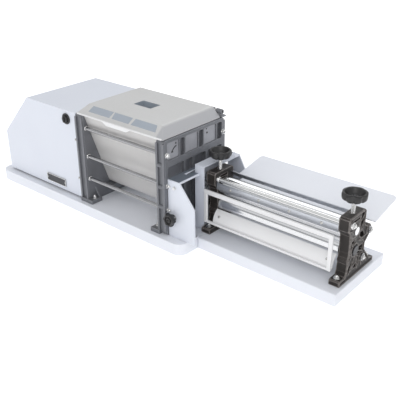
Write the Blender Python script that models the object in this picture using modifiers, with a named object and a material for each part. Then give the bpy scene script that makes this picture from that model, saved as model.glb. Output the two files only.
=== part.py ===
"""Motorised pasta machine: a kneader under a drive cover and a roller sheeter, on two boards.

Lengths are in metres. +X runs along the machine from the drive to the sheeter, +Y runs from
the front to the back, and +Z is up. The origin lies on the table, under the middle.
"""
import math

import bmesh
import bpy
from mathutils import Matrix, Vector

GAP = 0.0003                      # running gap between neighbouring solids
CENTRE = (0.139, 0.1061)          # middle of the footprint, in the machine's own x and y

BOARD_HEIGHT = 0.023
DRIVE_BOARD = (-0.272, 0.264, -0.014, 0.198)
SHEETER_BOARD = (0.2643, 0.545, 0.032, 0.196)
BOARD_CORNER = 0.020
FLOOR = BOARD_HEIGHT + GAP        # height at which everything stands on the boards

SHAFT_Y = 0.092                   # kneader shaft, coupling and upper roller share this axis
SHAFT_Z = 0.109
SHAFT_RADIUS = 0.011

COVER_X = (-0.252, -0.0115)
COVER_Y = (0.0, 0.1846)
COVER_Z = (0.027, 0.204)
COVER_CHAMFER = (-0.163, 0.113)   # x and z where the sloping corner ends
COVER_WALL = 0.002
SWITCH = (-0.039, 0.187)          # x and z of the switch on the cover's front

CASTING_DEPTH = 0.160
CASTING_TOP = 0.205
CASTING_LEFT = (-0.0108, 0.0095)
CASTING_RIGHT = (0.2003, 0.220)
SHAFT_BOSS = 0.018                # radius left solid round the shaft's bore
PANEL_DEPTH = 0.0025
POCKET_DEPTH = 0.0075
FOOT_TOP = 0.031
FOOT_LENGTH = 0.026
FOOT_REACH = 0.005                # how far the feet stand out in front and behind

TROUGH_RADIUS = 0.060             # round the shaft, from the bottom up to the back
TROUGH_LEAN = math.radians(18.8)  # how far the flat front wall leans from upright
TROUGH_FILLET = 0.012
TROUGH_WALL = 0.0015
TROUGH_LIPS = (0.003, 0.1505)     # y of the front and back lips
PADDLE_REACH = 0.0505
TIE_ROD_HEIGHTS = (0.178, 0.121, 0.074)
TIE_ROD_Y = 0.0045
TIE_ROD_RADIUS = 0.0035

LID_X = (-0.006, 0.2185)
LID_Y = (-0.003, 0.153)
LID_Z = (0.2056, 0.2240)
LID_WALL = 0.003
HINGE_Y = 0.1585
HINGE_Z = 0.215
PIN_RADIUS = 0.003
KNUCKLE = 0.005                   # radius of the hinge's knuckle and ears
LID_INSETS = (0.0175, 0.0195, 0.020)

GEAR_MODULE = 0.0025
DRIVE_TEETH = 36
PINION_TEETH = 10
PINION_ANGLE = math.radians(-33)  # direction from the kneader shaft to the motor shaft
MOTOR_X = (-0.206, -0.096)
MOTOR_RADIUS = 0.036
MOTOR_SHAFT_RADIUS = 0.005
GEARBOX_X = (-0.0957, -0.066)
DRIVE_GEAR_X = (-0.058, -0.046)
PADDLES = 5

BRACKET_X = (0.2206, 0.270)
BRACKET_FRONT_X = 0.281           # right edge of the bracket's front sheet
BRACKET_Y = (0.0045, 0.175)
BRACKET_TOP = 0.134
BRACKET_SHEET = 0.0025
CLAMP_KNOB = (0.2335, 0.0635)     # x and z of the clamp knobs' studs
COUPLING_RADIUS = 0.015
COUPLING_X = ((0.2209, 0.2255), (0.2258, 0.2295), (0.2298, 0.2362))

ROLLER_RADIUS = 0.017
ROLLER_GAP = 0.0006
ROLLER_TEETH = 14
ROLLER_GEAR_X = (0.2415, 0.2515)
JOURNAL_RADIUS = 0.007
ROLLER_PITCH = 2 * ROLLER_RADIUS + ROLLER_GAP
LOWER_Z = SHAFT_Z - ROLLER_PITCH
FRAME_THICKNESS = 0.018
FRAME_LEFT = 0.2575               # outer face of the left frame
FRAME_RIGHT = 0.538               # outer face of the right frame
FRAME_TOP = 0.138
BLOCK_HALF = 0.010
BLOCK_Z = (0.098, 0.126)
GAP_TRAVEL = 0.003                # how far the upper roller can rise
KNOB_Z = (0.158, 0.174)
KNOB_RADIUS = 0.021
SCREW_RADIUS = 0.0034
FACE_LEFT = FRAME_LEFT + FRAME_THICKNESS + 0.001
FACE_RIGHT = FRAME_RIGHT - FRAME_THICKNESS - 0.001
TRAY_SLOPE = math.atan(0.20)

cutters = None
model = None
anchor = None


def clear_scene():
    """Removes every object that is already in the file."""
    for old in list(bpy.data.objects):
        bpy.data.objects.remove(old, do_unlink=True)


def new_collection(name):
    """Makes a collection in the scene."""
    collection = bpy.data.collections.new(name)
    bpy.context.scene.collection.children.link(collection)
    return collection


def make_material(name, colour, roughness, metallic=0.0, alpha=1.0):
    """Makes one Principled material."""
    material = bpy.data.materials.new(name)
    material.use_nodes = True
    shader = material.node_tree.nodes["Principled BSDF"]
    shader.inputs["Base Color"].default_value = (*colour, 1.0)
    shader.inputs["Roughness"].default_value = roughness
    shader.inputs["Metallic"].default_value = metallic
    shader.inputs["Alpha"].default_value = alpha
    return material


LOOKS = {
    "board": ((0.90, 0.91, 0.93), 0.45, 0.0, 1.0),
    "sheet_white": ((0.86, 0.87, 0.90), 0.35, 0.0, 1.0),
    "casting_grey": ((0.36, 0.37, 0.38), 0.50, 0.3, 1.0),
    "casting_black": ((0.035, 0.033, 0.032), 0.45, 0.2, 1.0),
    "stainless": ((0.62, 0.60, 0.56), 0.30, 1.0, 1.0),
    "chrome": ((0.80, 0.80, 0.80), 0.08, 1.0, 1.0),
    "steel": ((0.55, 0.55, 0.54), 0.35, 1.0, 1.0),
    "lid_clear": ((0.78, 0.76, 0.72), 0.30, 0.0, 0.75),
    "knob_black": ((0.02, 0.02, 0.02), 0.40, 0.0, 1.0),
    "rubber": ((0.04, 0.04, 0.04), 0.80, 0.0, 1.0),
    "white_plastic": ((0.88, 0.88, 0.88), 0.40, 0.0, 1.0),
    "plate_dark": ((0.03, 0.03, 0.035), 0.30, 0.0, 1.0),
    "motor_paint": ((0.12, 0.13, 0.14), 0.50, 0.1, 1.0),
    "aluminium": ((0.70, 0.70, 0.70), 0.40, 1.0, 1.0),
}


def register(obj, look, *axis_place):
    """Puts a finished object into the model, on an empty of its own where axis_place is given."""
    colour, roughness, metallic, alpha = LOOKS[look]
    obj.data.materials.clear()
    obj.data.materials.append(make_material(obj.name, colour, roughness, metallic, alpha))
    model.objects.link(obj)
    obj.parent = anchor
    if axis_place:
        axis = bpy.data.objects.new(obj.name + "_axis", None)
        axis.location = axis_place
        model.objects.link(axis)
        axis.parent = anchor
        obj.parent = axis
        obj.location -= axis.location


def register_cutter(obj):
    """Puts an object among the cutters, where it isn't part of the model."""
    obj.hide_render = True
    obj.display_type = "WIRE"
    cutters.objects.link(obj)
    obj.parent = anchor


def shade_round(mesh):
    """Shades a mesh smooth, with sharp edges where its faces turn a corner."""
    mesh.shade_smooth()
    mesh.set_sharp_from_angle(angle=math.radians(32))


def box_object(name, low, high):
    """A box between two corners."""
    mesh = bpy.data.meshes.new(name)
    form = bmesh.new()
    bmesh.ops.create_cube(form, size=1.0)
    size = [b - a for a, b in zip(low, high)]
    bmesh.ops.scale(form, vec=size, verts=form.verts)
    form.to_mesh(mesh)
    form.free()
    obj = bpy.data.objects.new(name, mesh)
    obj.location = [(a + b) / 2 for a, b in zip(low, high)]
    return obj


AXIS_TURNS = {"X": (0, math.pi / 2, 0), "Y": (math.pi / 2, 0, 0), "Z": (0, 0, 0)}


def rod_object(name, axis, start, end, centre, radius, segments=32):
    """A cylinder along X, Y or Z; centre gives its place on the two other axes, in order."""
    mesh = bpy.data.meshes.new(name)
    form = bmesh.new()
    bmesh.ops.create_cone(form, cap_ends=True, segments=segments, radius1=radius,
                          radius2=radius, depth=end - start)
    form.to_mesh(mesh)
    form.free()
    shade_round(mesh)
    obj = bpy.data.objects.new(name, mesh)
    place = list(centre)
    place.insert("XYZ".index(axis), (start + end) / 2)
    obj.location = place
    obj.rotation_euler = AXIS_TURNS[axis]
    return obj


PLANE_TURNS = {
    "XY": (0, 0, 0),
    "XZ": (math.pi / 2, 0, 0),
    "YZ": (math.pi / 2, 0, math.pi / 2),
}


def plate_object(name, plane, loops, start, end, pivot=(0, 0)):
    """A flat outline with its holes, extruded from start to end; its origin is on the pivot."""
    curve = bpy.data.curves.new(name, "CURVE")
    curve.dimensions = "2D"
    curve.fill_mode = "BOTH"
    curve.extrude = (end - start) / 2
    for loop in loops:
        spline = curve.splines.new("POLY")
        spline.points.add(len(loop) - 1)
        spline.use_cyclic_u = True
        for point, (u, v) in zip(spline.points, loop):
            point.co = (u - pivot[0], v - pivot[1], 0, 1)
    guide = bpy.data.objects.new(name + "_outline", curve)
    bpy.context.scene.collection.objects.link(guide)
    bpy.context.view_layer.update()
    evaluated = guide.evaluated_get(bpy.context.evaluated_depsgraph_get())
    mesh = bpy.data.meshes.new_from_object(evaluated)
    bpy.data.objects.remove(guide, do_unlink=True)
    mesh.name = name
    form = bmesh.new()
    form.from_mesh(mesh)
    bmesh.ops.remove_doubles(form, verts=form.verts, dist=1e-6)
    bmesh.ops.recalc_face_normals(form, faces=form.faces)
    form.to_mesh(mesh)
    form.free()
    shade_round(mesh)
    obj = bpy.data.objects.new(name, mesh)
    place = list(pivot)
    place.insert({"XY": 2, "XZ": 1, "YZ": 0}[plane], (start + end) / 2)
    obj.location = place
    obj.rotation_euler = PLANE_TURNS[plane]
    return obj


def turned_object(name, axis, origin, profile, steps=32):
    """A turned shape: the profile lists radius and place along the axis, top to bottom."""
    mesh = bpy.data.meshes.new(name)
    points = [(radius, 0, along) for radius, along in profile]
    edges = [(i, i + 1) for i in range(len(points) - 1)]
    if profile[0][0] > 0:
        edges.append((len(points) - 1, 0))
    mesh.from_pydata(points, edges, [])
    obj = bpy.data.objects.new(name, mesh)
    obj.location = origin
    obj.rotation_euler = AXIS_TURNS[axis]
    screw = obj.modifiers.new("turn", "SCREW")
    screw.steps = steps
    screw.render_steps = steps
    screw.use_merge_vertices = True
    screw.merge_threshold = 0.00001
    screw.use_smooth_shade = True
    return obj


def bevel(obj, width, segments=2):
    """Rounds the sharp edges of an object."""
    modifier = obj.modifiers.new("rounding", "BEVEL")
    modifier.width = width
    modifier.segments = segments
    modifier.limit_method = "ANGLE"
    modifier.angle_limit = math.radians(40)


def combine(obj, tool, operation):
    """Cuts a tool from an object, or joins it on."""
    register_cutter(tool)
    modifier = obj.modifiers.new(operation.lower(), "BOOLEAN")
    modifier.operation = operation
    modifier.solver = "EXACT"
    modifier.object = tool


def cut(obj, tool):
    """Cuts a tool from an object."""
    combine(obj, tool, "DIFFERENCE")


def join(obj, tool):
    """Joins a tool on to an object."""
    combine(obj, tool, "UNION")


def arc(centre, radius, start, end, count):
    """Points along an arc, with angles in degrees."""
    angles = [math.radians(start + (end - start) * i / count) for i in range(count + 1)]
    return [(centre[0] + radius * math.cos(a), centre[1] + radius * math.sin(a)) for a in angles]


def circle(centre, radius, count=24):
    """Points round a full circle."""
    return arc(centre, radius, 0, 360, count)[:-1]


def rectangle(u0, u1, v0, v1, corner=0.0, count=5):
    """A rectangle, with round corners where corner isn't zero."""
    if corner == 0:
        return [(u0, v0), (u1, v0), (u1, v1), (u0, v1)]
    points = arc((u1 - corner, v0 + corner), corner, -90, 0, count)
    points += arc((u1 - corner, v1 - corner), corner, 0, 90, count)
    points += arc((u0 + corner, v1 - corner), corner, 90, 180, count)
    points += arc((u0 + corner, v0 + corner), corner, 180, 270, count)
    return points


def gear_outline(centre, teeth, module, phase):
    """A spur gear's outline, with the middle of one tooth at the angle phase."""
    pitch_radius = module * teeth / 2
    step = 2 * math.pi / teeth
    corners = ((-0.27, -1.15), (-0.10, 0.80), (0.10, 0.80), (0.27, -1.15))
    points = []
    for tooth in range(teeth):
        for turn, height in corners:
            angle = phase + (tooth + turn) * step
            radius = pitch_radius + height * module
            points.append((centre[0] + radius * math.cos(angle),
                           centre[1] + radius * math.sin(angle)))
    return points


def lobed_outline(centre, radius, lobes=7, depth=0.10):
    """A grip's outline: a circle with shallow flutes."""
    points = []
    count = lobes * 6
    for i in range(count):
        angle = 2 * math.pi * i / count
        reach = radius * (1 - depth * (0.5 - 0.5 * math.cos(lobes * angle)) ** 2)
        points.append((centre[0] + reach * math.cos(angle), centre[1] + reach * math.sin(angle)))
    return points


def make_boards():
    """The two white plastic boards."""
    x0, x1, y0, y1 = DRIVE_BOARD
    board = plate_object("drive_board", "XY", [rectangle(x0, x1, y0, y1, BOARD_CORNER, 6)],
                         0, BOARD_HEIGHT)
    bevel(board, 0.0015, 1)
    register(board, "board")
    x0, x1, y0, y1 = SHEETER_BOARD
    board = box_object("sheeter_board", (x0, y0, 0), (x1, y1, BOARD_HEIGHT))
    bevel(board, 0.0012, 1)
    register(board, "board")


def make_motor_cover():
    """The white drive cover, its base, switch, blank plate and cable inlet."""
    x0, x1 = COVER_X
    y0, y1 = COVER_Y
    z0, z1 = COVER_Z
    corner_x, corner_z = COVER_CHAMFER
    wall = COVER_WALL
    outline = [(x0, z0), (x1, z0), (x1, z1), (corner_x, z1), (x0, corner_z)]
    cover = plate_object("motor_cover", "XZ", [outline], y0, y1)
    below = z0 - 0.01
    slope = math.hypot(corner_x - x0, z1 - corner_z)
    run = wall * (slope - (corner_x - x0)) / (z1 - corner_z)
    rise = wall * (slope - (z1 - corner_z)) / (corner_x - x0)
    inside = [(x0 + wall, below), (x1 - wall, below), (x1 - wall, z1 - wall),
              (corner_x + run, z1 - wall), (x0 + wall, corner_z - rise)]
    cut(cover, plate_object("cover_inside", "XZ", [inside], y0 + wall, y1 - wall))
    shaft_hole = rod_object("cover_shaft_hole", "X", x1 - 2 * wall, x1 + wall,
                            (SHAFT_Y, SHAFT_Z), SHAFT_RADIUS + 0.004)
    cut(cover, shaft_hole)
    register(cover, "sheet_white")

    base = box_object("cover_base_plate", (x0 + 0.004, y0 + 0.004, FLOOR),
                      (x1 - 0.003, y1 - 0.004, z0 - GAP))
    register(base, "plate_dark")

    switch_x, switch_z = SWITCH
    ring = [(0.0105, 0.0023), (0.0105, GAP), (0.0082, GAP), (0.0082, 0.0023)]
    bezel = turned_object("switch_bezel", "Y", (switch_x, y0, switch_z), ring, 32)
    register(bezel, "knob_black")
    button = [(0, 0.0065), (0.0060, 0.0065), (0.0072, 0.0055), (0.0078, GAP), (0, GAP)]
    knob = turned_object("switch_knob", "Y", (switch_x, y0, switch_z), button, 32)
    ridge = box_object("switch_ridge", (switch_x - 0.0015, y0 - 0.0085, switch_z - 0.0055),
                       (switch_x + 0.0015, y0 - 0.005, switch_z + 0.0055))
    join(knob, ridge)
    register(knob, "knob_black")

    plate = box_object("nameplate", (-0.121, y0 - 0.0013, 0.035), (-0.061, y0 - GAP, 0.052))
    bevel(plate, 0.0004, 1)
    register(plate, "plate_dark")

    inlet = [(0, -0.0115), (0.0045, -0.0115), (0.0070, -0.0100), (0.0085, -0.0040),
             (0.0085, -0.0030), (0.0120, -0.0030), (0.0120, -GAP), (0, -GAP)]
    gland = turned_object("cable_gland", "Y", (-0.200, y1, 0.060), inlet[::-1], 20)
    register(gland, "knob_black")


def pinion_centre():
    """Where the motor's shaft runs, as y and z."""
    distance = GEAR_MODULE * (DRIVE_TEETH + PINION_TEETH) / 2
    return (SHAFT_Y + distance * math.cos(PINION_ANGLE),
            SHAFT_Z + distance * math.sin(PINION_ANGLE))


def make_drive():
    """The motor, its gearbox and cradle, and the pair of gears that turns the kneader."""
    centre = pinion_centre()
    motor = rod_object("motor", "X", *MOTOR_X, centre, MOTOR_RADIUS, 40)
    bevel(motor, 0.003, 2)
    register(motor, "motor_paint")
    half_width, half_height = 0.030, 0.033
    gearbox = box_object("gearbox",
                         (GEARBOX_X[0], centre[0] - half_width, centre[1] - half_height),
                         (GEARBOX_X[1], centre[0] + half_width, centre[1] + half_height))
    bevel(gearbox, 0.003, 2)
    register(gearbox, "aluminium")
    cradle_arch = circle(centre, MOTOR_RADIUS + GAP, 48)
    low = COVER_Z[0]
    inset = 0.016
    cradle = box_object("motor_cradle", (MOTOR_X[0] + inset, centre[0] - 0.026, low),
                        (MOTOR_X[1] - inset, centre[0] + 0.026, centre[1] - 0.020))
    cut(cradle, plate_object("cradle_arch", "YZ", [cradle_arch], *MOTOR_X))
    register(cradle, "steel")

    shaft = rod_object("motor_shaft", "X", GEARBOX_X[1] + GAP, -0.044, centre,
                       MOTOR_SHAFT_RADIUS, 24)
    register(shaft, "steel")
    bore = circle(centre, MOTOR_SHAFT_RADIUS + GAP, 24)
    phase = PINION_ANGLE + math.pi + math.pi / PINION_TEETH
    pinion = plate_object("motor_pinion", "YZ",
                          [gear_outline(centre, PINION_TEETH, GEAR_MODULE, phase), bore],
                          DRIVE_GEAR_X[0] - 0.001, DRIVE_GEAR_X[1] + 0.001, centre)
    register(pinion, "steel")
    axis = (SHAFT_Y, SHAFT_Z)
    bore = circle(axis, SHAFT_RADIUS + GAP, 32)
    windows = [circle(place, 0.009, 12) for place in circle(axis, 0.026, 4)]
    rim = gear_outline(axis, DRIVE_TEETH, GEAR_MODULE, PINION_ANGLE)
    gear = plate_object("drive_gear", "YZ", [rim, bore] + windows, *DRIVE_GEAR_X, axis)
    register(gear, "steel")


CASTING_PANELS = ((0.006, 0.037), (0.053, 0.087), (0.103, 0.138))
CASTING_GROOVES = ((0.039, 0.051), (0.089, 0.101), (0.140, 0.154))
CASTING_BAYS = ((0.006, 0.049), (0.053, 0.072), (0.112, 0.131), (0.135, 0.154))
UPPER_ROW = (0.167, 0.199)
LOWER_ROW = (0.035, 0.155)


def make_casting(name, x0, x1):
    """The plain body of an end casting, with the bore for the kneader's shaft."""
    outline = rectangle(0, CASTING_DEPTH, FLOOR, CASTING_TOP, 0.005, 3)
    bore = circle((SHAFT_Y, SHAFT_Z), SHAFT_RADIUS + GAP, 32)
    return plate_object(name, "YZ", [outline, bore], x0, x1)


def add_feet(casting, x0, x1):
    """Joins a foot on to the front and the back of a casting."""
    for end, y0, y1 in (("front", -FOOT_REACH, FOOT_LENGTH - FOOT_REACH),
                        ("rear", CASTING_DEPTH + FOOT_REACH - FOOT_LENGTH,
                         CASTING_DEPTH + FOOT_REACH)):
        join(casting, box_object(f"{casting.name}_{end}_foot", (x0, y0, FLOOR),
                                 (x1, y1, FOOT_TOP)))


def make_castings():
    """The left casting, flat where it meets the cover, and the right one with its ribs."""
    left = make_casting("casting_left", *CASTING_LEFT)
    add_feet(left, CASTING_LEFT[0], CASTING_LEFT[1] + 0.013)
    register(left, "casting_grey")

    right = make_casting("casting_right", *CASTING_RIGHT)
    face = CASTING_RIGHT[1]
    beyond = face + 0.005
    corner = 0.002
    panels = [rectangle(*span, *UPPER_ROW, corner, 1) for span in CASTING_PANELS]
    cut(right, plate_object("casting_panels", "YZ", panels, face - PANEL_DEPTH, beyond))
    pockets = [rectangle(*span, *UPPER_ROW, corner, 1) for span in CASTING_GROOVES]
    pockets += [rectangle(*span, *LOWER_ROW, corner, 1) for span in CASTING_BAYS]
    for row in ((LOWER_ROW[0], SHAFT_Z - SHAFT_BOSS), (SHAFT_Z + SHAFT_BOSS, LOWER_ROW[1])):
        pockets.append(rectangle(SHAFT_Y - 0.016, SHAFT_Y + 0.016, *row, corner, 1))
    cut(right, plate_object("casting_pockets", "YZ", pockets, face - POCKET_DEPTH, beyond))
    add_feet(right, CASTING_RIGHT[0] - 0.017, CASTING_RIGHT[0] + 0.0047)
    register(right, "casting_grey")


def tangent_angle(point, centre, radius):
    """Angle, seen from the centre, at which a line from the point touches the circle's front."""
    away = Vector(point) - Vector(centre)
    return math.degrees(math.atan2(away.y, away.x) + math.acos(radius / away.length))


def trough_wall(inset):
    """The trough's section, drawn in by the inset, from the front lip round to the back lip."""
    axis = (SHAFT_Y, SHAFT_Z)
    radius = TROUGH_RADIUS - inset
    fillet = TROUGH_FILLET - inset
    height = CASTING_TOP - 0.0005
    front_y = TROUGH_LIPS[0] + inset / math.cos(TROUGH_LEAN)
    corner_y = front_y + (height - SHAFT_Z + radius) * math.tan(TROUGH_LEAN)
    tangent = fillet * math.tan((math.pi / 2 - TROUGH_LEAN) / 2)
    middle = (corner_y + tangent, SHAFT_Z - radius + fillet)
    back_y = TROUGH_LIPS[1] - inset
    end = 540 - tangent_angle((2 * SHAFT_Y - back_y, height), axis, radius)
    section = [(front_y, height)]
    section += arc(middle, fillet, 180 + math.degrees(TROUGH_LEAN), 270, 6)
    section += arc(axis, radius, 270, end, 20)
    return section + [(back_y, height)]


def make_kneader():
    """The two castings, the tie rods, the trough and the mixing shaft."""
    make_castings()
    start = CASTING_LEFT[1] + GAP
    end = CASTING_RIGHT[0] - GAP
    for side, y in (("front", TIE_ROD_Y), ("rear", CASTING_DEPTH - TIE_ROD_RADIUS)):
        for level, z in zip(("upper", "middle", "lower"), TIE_ROD_HEIGHTS):
            rod = rod_object(f"tie_rod_{side}_{level}", "X", start, end, (y, z),
                             TIE_ROD_RADIUS, 20)
            register(rod, "steel")

    outer = trough_wall(0)
    inner = trough_wall(TROUGH_WALL)
    trough = plate_object("trough", "YZ", [outer + inner[::-1]], start, end)
    register(trough, "stainless")

    shaft = rod_object("kneader_shaft", "X", DRIVE_GEAR_X[0] - 0.002, COUPLING_X[0][1] - GAP,
                       (SHAFT_Y, SHAFT_Z), SHAFT_RADIUS, 32)
    half_width, half_depth = 0.005, 0.008
    first, last = start + 0.020, end - 0.020
    for i in range(PADDLES):
        blade = box_object(f"paddle_{i}", (-half_width, -half_depth, 0),
                           (half_width, half_depth, PADDLE_REACH))
        blade.data.transform(Matrix.Translation(blade.location))
        blade.location = (first + (last - first) * i / (PADDLES - 1), SHAFT_Y, SHAFT_Z)
        blade.rotation_euler = (math.radians(20) + 2 * math.pi * i / PADDLES, 0, 0)
        join(shaft, blade)
    register(shaft, "stainless")


def tapered_lid(name, low, high, insets):
    """A box whose top face is drawn in by the insets at its left, right and front sides."""
    lid = box_object(name, low, high)
    left, right, front = insets
    for vertex in lid.data.vertices:
        if vertex.co.z > 0:
            vertex.co.x += left if vertex.co.x < 0 else -right
            vertex.co.y += front if vertex.co.y < 0 else 0
    return lid


def make_lid():
    """The translucent lid with its filling slot, and the hinge behind it."""
    low = (LID_X[0], LID_Y[0], LID_Z[0])
    high = (LID_X[1], LID_Y[1], LID_Z[1])
    lid = tapered_lid("lid", low, high, LID_INSETS)
    wall = LID_WALL
    inner_low = (low[0] + wall, low[1] + wall, low[2] - 0.004)
    inner_high = (high[0] - wall, high[1] - wall, high[2] - wall)
    bevel(lid, 0.002, 2)
    cut(lid, tapered_lid("lid_inside", inner_low, inner_high, LID_INSETS))
    cut(lid, box_object("lid_slot", (0.076, 0.066, high[2] - 0.01),
                        (0.124, 0.096, high[2] + 0.01)))
    axis = (HINGE_Y, HINGE_Z)
    knuckle = [(high[1] - 0.001, HINGE_Z - KNUCKLE), (HINGE_Y, HINGE_Z - KNUCKLE)]
    knuckle += arc(axis, KNUCKLE, -90, 90, 8)[1:]
    knuckle += [(high[1] - 0.001, HINGE_Z + KNUCKLE)]
    join(lid, plate_object("lid_knuckle", "YZ", [knuckle], 0.022, 0.178))
    cut(lid, rod_object("lid_bore", "X", 0.010, 0.190, axis, PIN_RADIUS + GAP, 24))
    register(lid, "lid_clear", (LID_X[0] + LID_X[1]) / 2, *axis)

    rail = box_object("hinge_rail", (CASTING_LEFT[0], LID_Y[1] + 0.001, CASTING_TOP + GAP),
                      (CASTING_RIGHT[1], 0.1665, CASTING_TOP + 0.003))
    bevel(rail, 0.0006, 1)
    register(rail, "casting_grey")
    foot = CASTING_TOP + 0.003 + GAP
    for side, x0, x1 in (("left", 0.006, 0.018), ("right", 0.184, 0.198)):
        ear = [(HINGE_Y - KNUCKLE + 0.001, foot), (HINGE_Y + KNUCKLE, foot)]
        ear += arc(axis, KNUCKLE, 0, 180, 8)
        hole = circle(axis, PIN_RADIUS + GAP, 20)
        bracket = plate_object(f"hinge_bracket_{side}", "YZ", [ear, hole], x0, x1)
        register(bracket, "casting_grey")
    pin = rod_object("hinge_pin", "X", 0.002, 0.2035, axis, PIN_RADIUS, 24)
    register(pin, "steel")
    grip = turned_object("hinge_knob", "X", (0.2035 + GAP, *axis),
                         [(0, 0.014), (0.0040, 0.014), (0.0048, 0.012), (0.0048, 0.003),
                          (0.0040, 0), (0, 0)], 20)
    register(grip, "knob_black")


def make_bracket():
    """The folded sheet bracket between kneader and sheeter, with its two clamp knobs."""
    x0, x1 = BRACKET_X
    y0, y1 = BRACKET_Y
    top = BRACKET_TOP
    sheet = BRACKET_SHEET
    chamfer_x, chamfer_z = 0.247, 0.092
    outline = [(x0, FLOOR), (x1, FLOOR), (x1, chamfer_z), (chamfer_x, top), (x0, top)]
    bracket = plate_object("bracket", "XZ", [outline], y0, y1)
    cut(bracket, box_object("bracket_inside", (x0 - 0.01, y0 + sheet, FLOOR - 0.01),
                            (x1 + 0.01, y1 - sheet, top - sheet)))
    front = [(x0, FLOOR), (BRACKET_FRONT_X, FLOOR), (BRACKET_FRONT_X, chamfer_z),
             (chamfer_x, top), (x0, top)]
    join(bracket, plate_object("bracket_front", "XZ", [front], y0, y0 + sheet))
    slot = plate_object("bracket_slot", "XY", [rectangle(0.228, 0.2335, 0.040, 0.074, 0.0027, 4)],
                        top - 0.01, top + 0.01)
    cut(bracket, slot)
    cut(bracket, box_object("bracket_notch", (0.2365, 0.057, top - 0.01),
                            (x1, 0.130, top + 0.01)))
    cut(bracket, rod_object("bracket_holes", "Y", y0 - 0.01, y1 + 0.01, CLAMP_KNOB,
                            0.0038, 20))
    register(bracket, "sheet_white")
    for side, face, way in (("front", y0, -1), ("rear", y1, 1)):
        near = face + way * 0.0055
        far = face + way * 0.0165
        rim = lobed_outline(CLAMP_KNOB, 0.013, 6, 0.14)
        knob = plate_object(f"clamp_knob_{side}", "XZ", [rim], min(near, far), max(near, far),
                            CLAMP_KNOB)
        bevel(knob, 0.0012, 1)
        ends = sorted((face + way * 0.010, face - way * 0.010))
        join(knob, rod_object(f"clamp_stud_{side}", "Y", *ends, CLAMP_KNOB, 0.0034, 20))
        register(knob, "knob_black")


def make_coupling():
    """The two hubs and the rubber disc between kneader shaft and upper roller."""
    axis = (SHAFT_Y, SHAFT_Z)
    names = ("coupling_driver", "coupling_disc", "coupling_driven")
    holes = (SHAFT_RADIUS, 0.004, JOURNAL_RADIUS)
    looks = ("aluminium", "rubber", "aluminium")
    for name, span, hole, look in zip(names, COUPLING_X, holes, looks):
        loops = [circle(axis, COUPLING_RADIUS, 36), circle(axis, hole + GAP, 24)]
        register(plate_object(name, "YZ", loops, *span, axis), look)


def frame_outline():
    """Side view of a sheeter frame: foot, waist, rear ear and flat top."""
    points = [(0.052, FLOOR), (0.163, FLOOR), (0.163, 0.031), (0.150, 0.034), (0.126, 0.062),
              (0.126, 0.074)]
    points += arc((0.135, 0.094), 0.0095, -55, 120, 8)
    points += [(0.119, 0.110), (0.119, FRAME_TOP - 0.003), (0.116, FRAME_TOP),
               (0.070, FRAME_TOP), (0.067, FRAME_TOP - 0.003), (0.067, 0.115), (0.074, 0.106),
               (0.076, 0.074)]
    points += arc((0.081, 0.060), 0.0085, 140, 220, 5)
    points += [(0.073, 0.040), (0.070, 0.033), (0.054, 0.033), (0.052, 0.031)]
    return points


FRAME_RODS = {"front_tie_rod": (0.0740, 0.1260), "rear_tie_rod": (0.135, 0.094),
              "lower_tie_rod": (0.118, 0.051)}
FRAME_POCKETS = (
    ((0.1060, 0.1340), (0.1060, 0.1040), (0.1150, 0.1040), (0.1150, 0.1340)),
    ((0.1060, 0.1000), (0.1060, 0.0860), (0.1220, 0.0800), (0.1240, 0.0880), (0.1160, 0.1000)),
    ((0.0800, 0.0930), (0.0800, 0.0860), (0.0860, 0.0860), (0.0960, 0.0930)),
    ((0.1040, 0.0740), (0.1010, 0.0640), (0.1100, 0.0600), (0.1220, 0.0640), (0.1220, 0.0740)),
    ((0.0800, 0.0480), (0.0760, 0.0370), (0.0900, 0.0370), (0.0980, 0.0600)),
    ((0.0950, 0.0370), (0.1080, 0.0370), (0.1090, 0.0460), (0.1020, 0.0560)),
    ((0.1270, 0.0370), (0.1450, 0.0370), (0.1290, 0.0540)),
)


def make_sheeter_frame(name, x0, outward):
    """One black cast frame with the roller's slot, rod holes and truss pockets."""
    x1 = x0 + FRAME_THICKNESS
    slot = rectangle(SHAFT_Y - BLOCK_HALF - GAP, SHAFT_Y + BLOCK_HALF + GAP,
                     BLOCK_Z[0] - GAP, BLOCK_Z[1] + GAP_TRAVEL + 0.001)
    holes = [slot, circle((SHAFT_Y, LOWER_Z), JOURNAL_RADIUS + GAP, 32)]
    holes += [circle(place, 0.0033, 16) for place in FRAME_RODS.values()]
    frame = plate_object(name, "YZ", [frame_outline()] + holes, x0, x1)
    depth, beyond = 0.009, 0.005
    span = (x1 - depth, x1 + beyond) if outward > 0 else (x0 - beyond, x0 + depth)
    cut(frame, plate_object(name + "_pockets", "YZ", FRAME_POCKETS, *span))
    middle = (x0 + x1) / 2
    cut(frame, rod_object(name + "_screw_hole", "Z", BLOCK_Z[1], FRAME_TOP + 0.01,
                          (middle, SHAFT_Y), 0.0043, 20))
    register(frame, "casting_black")


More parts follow.
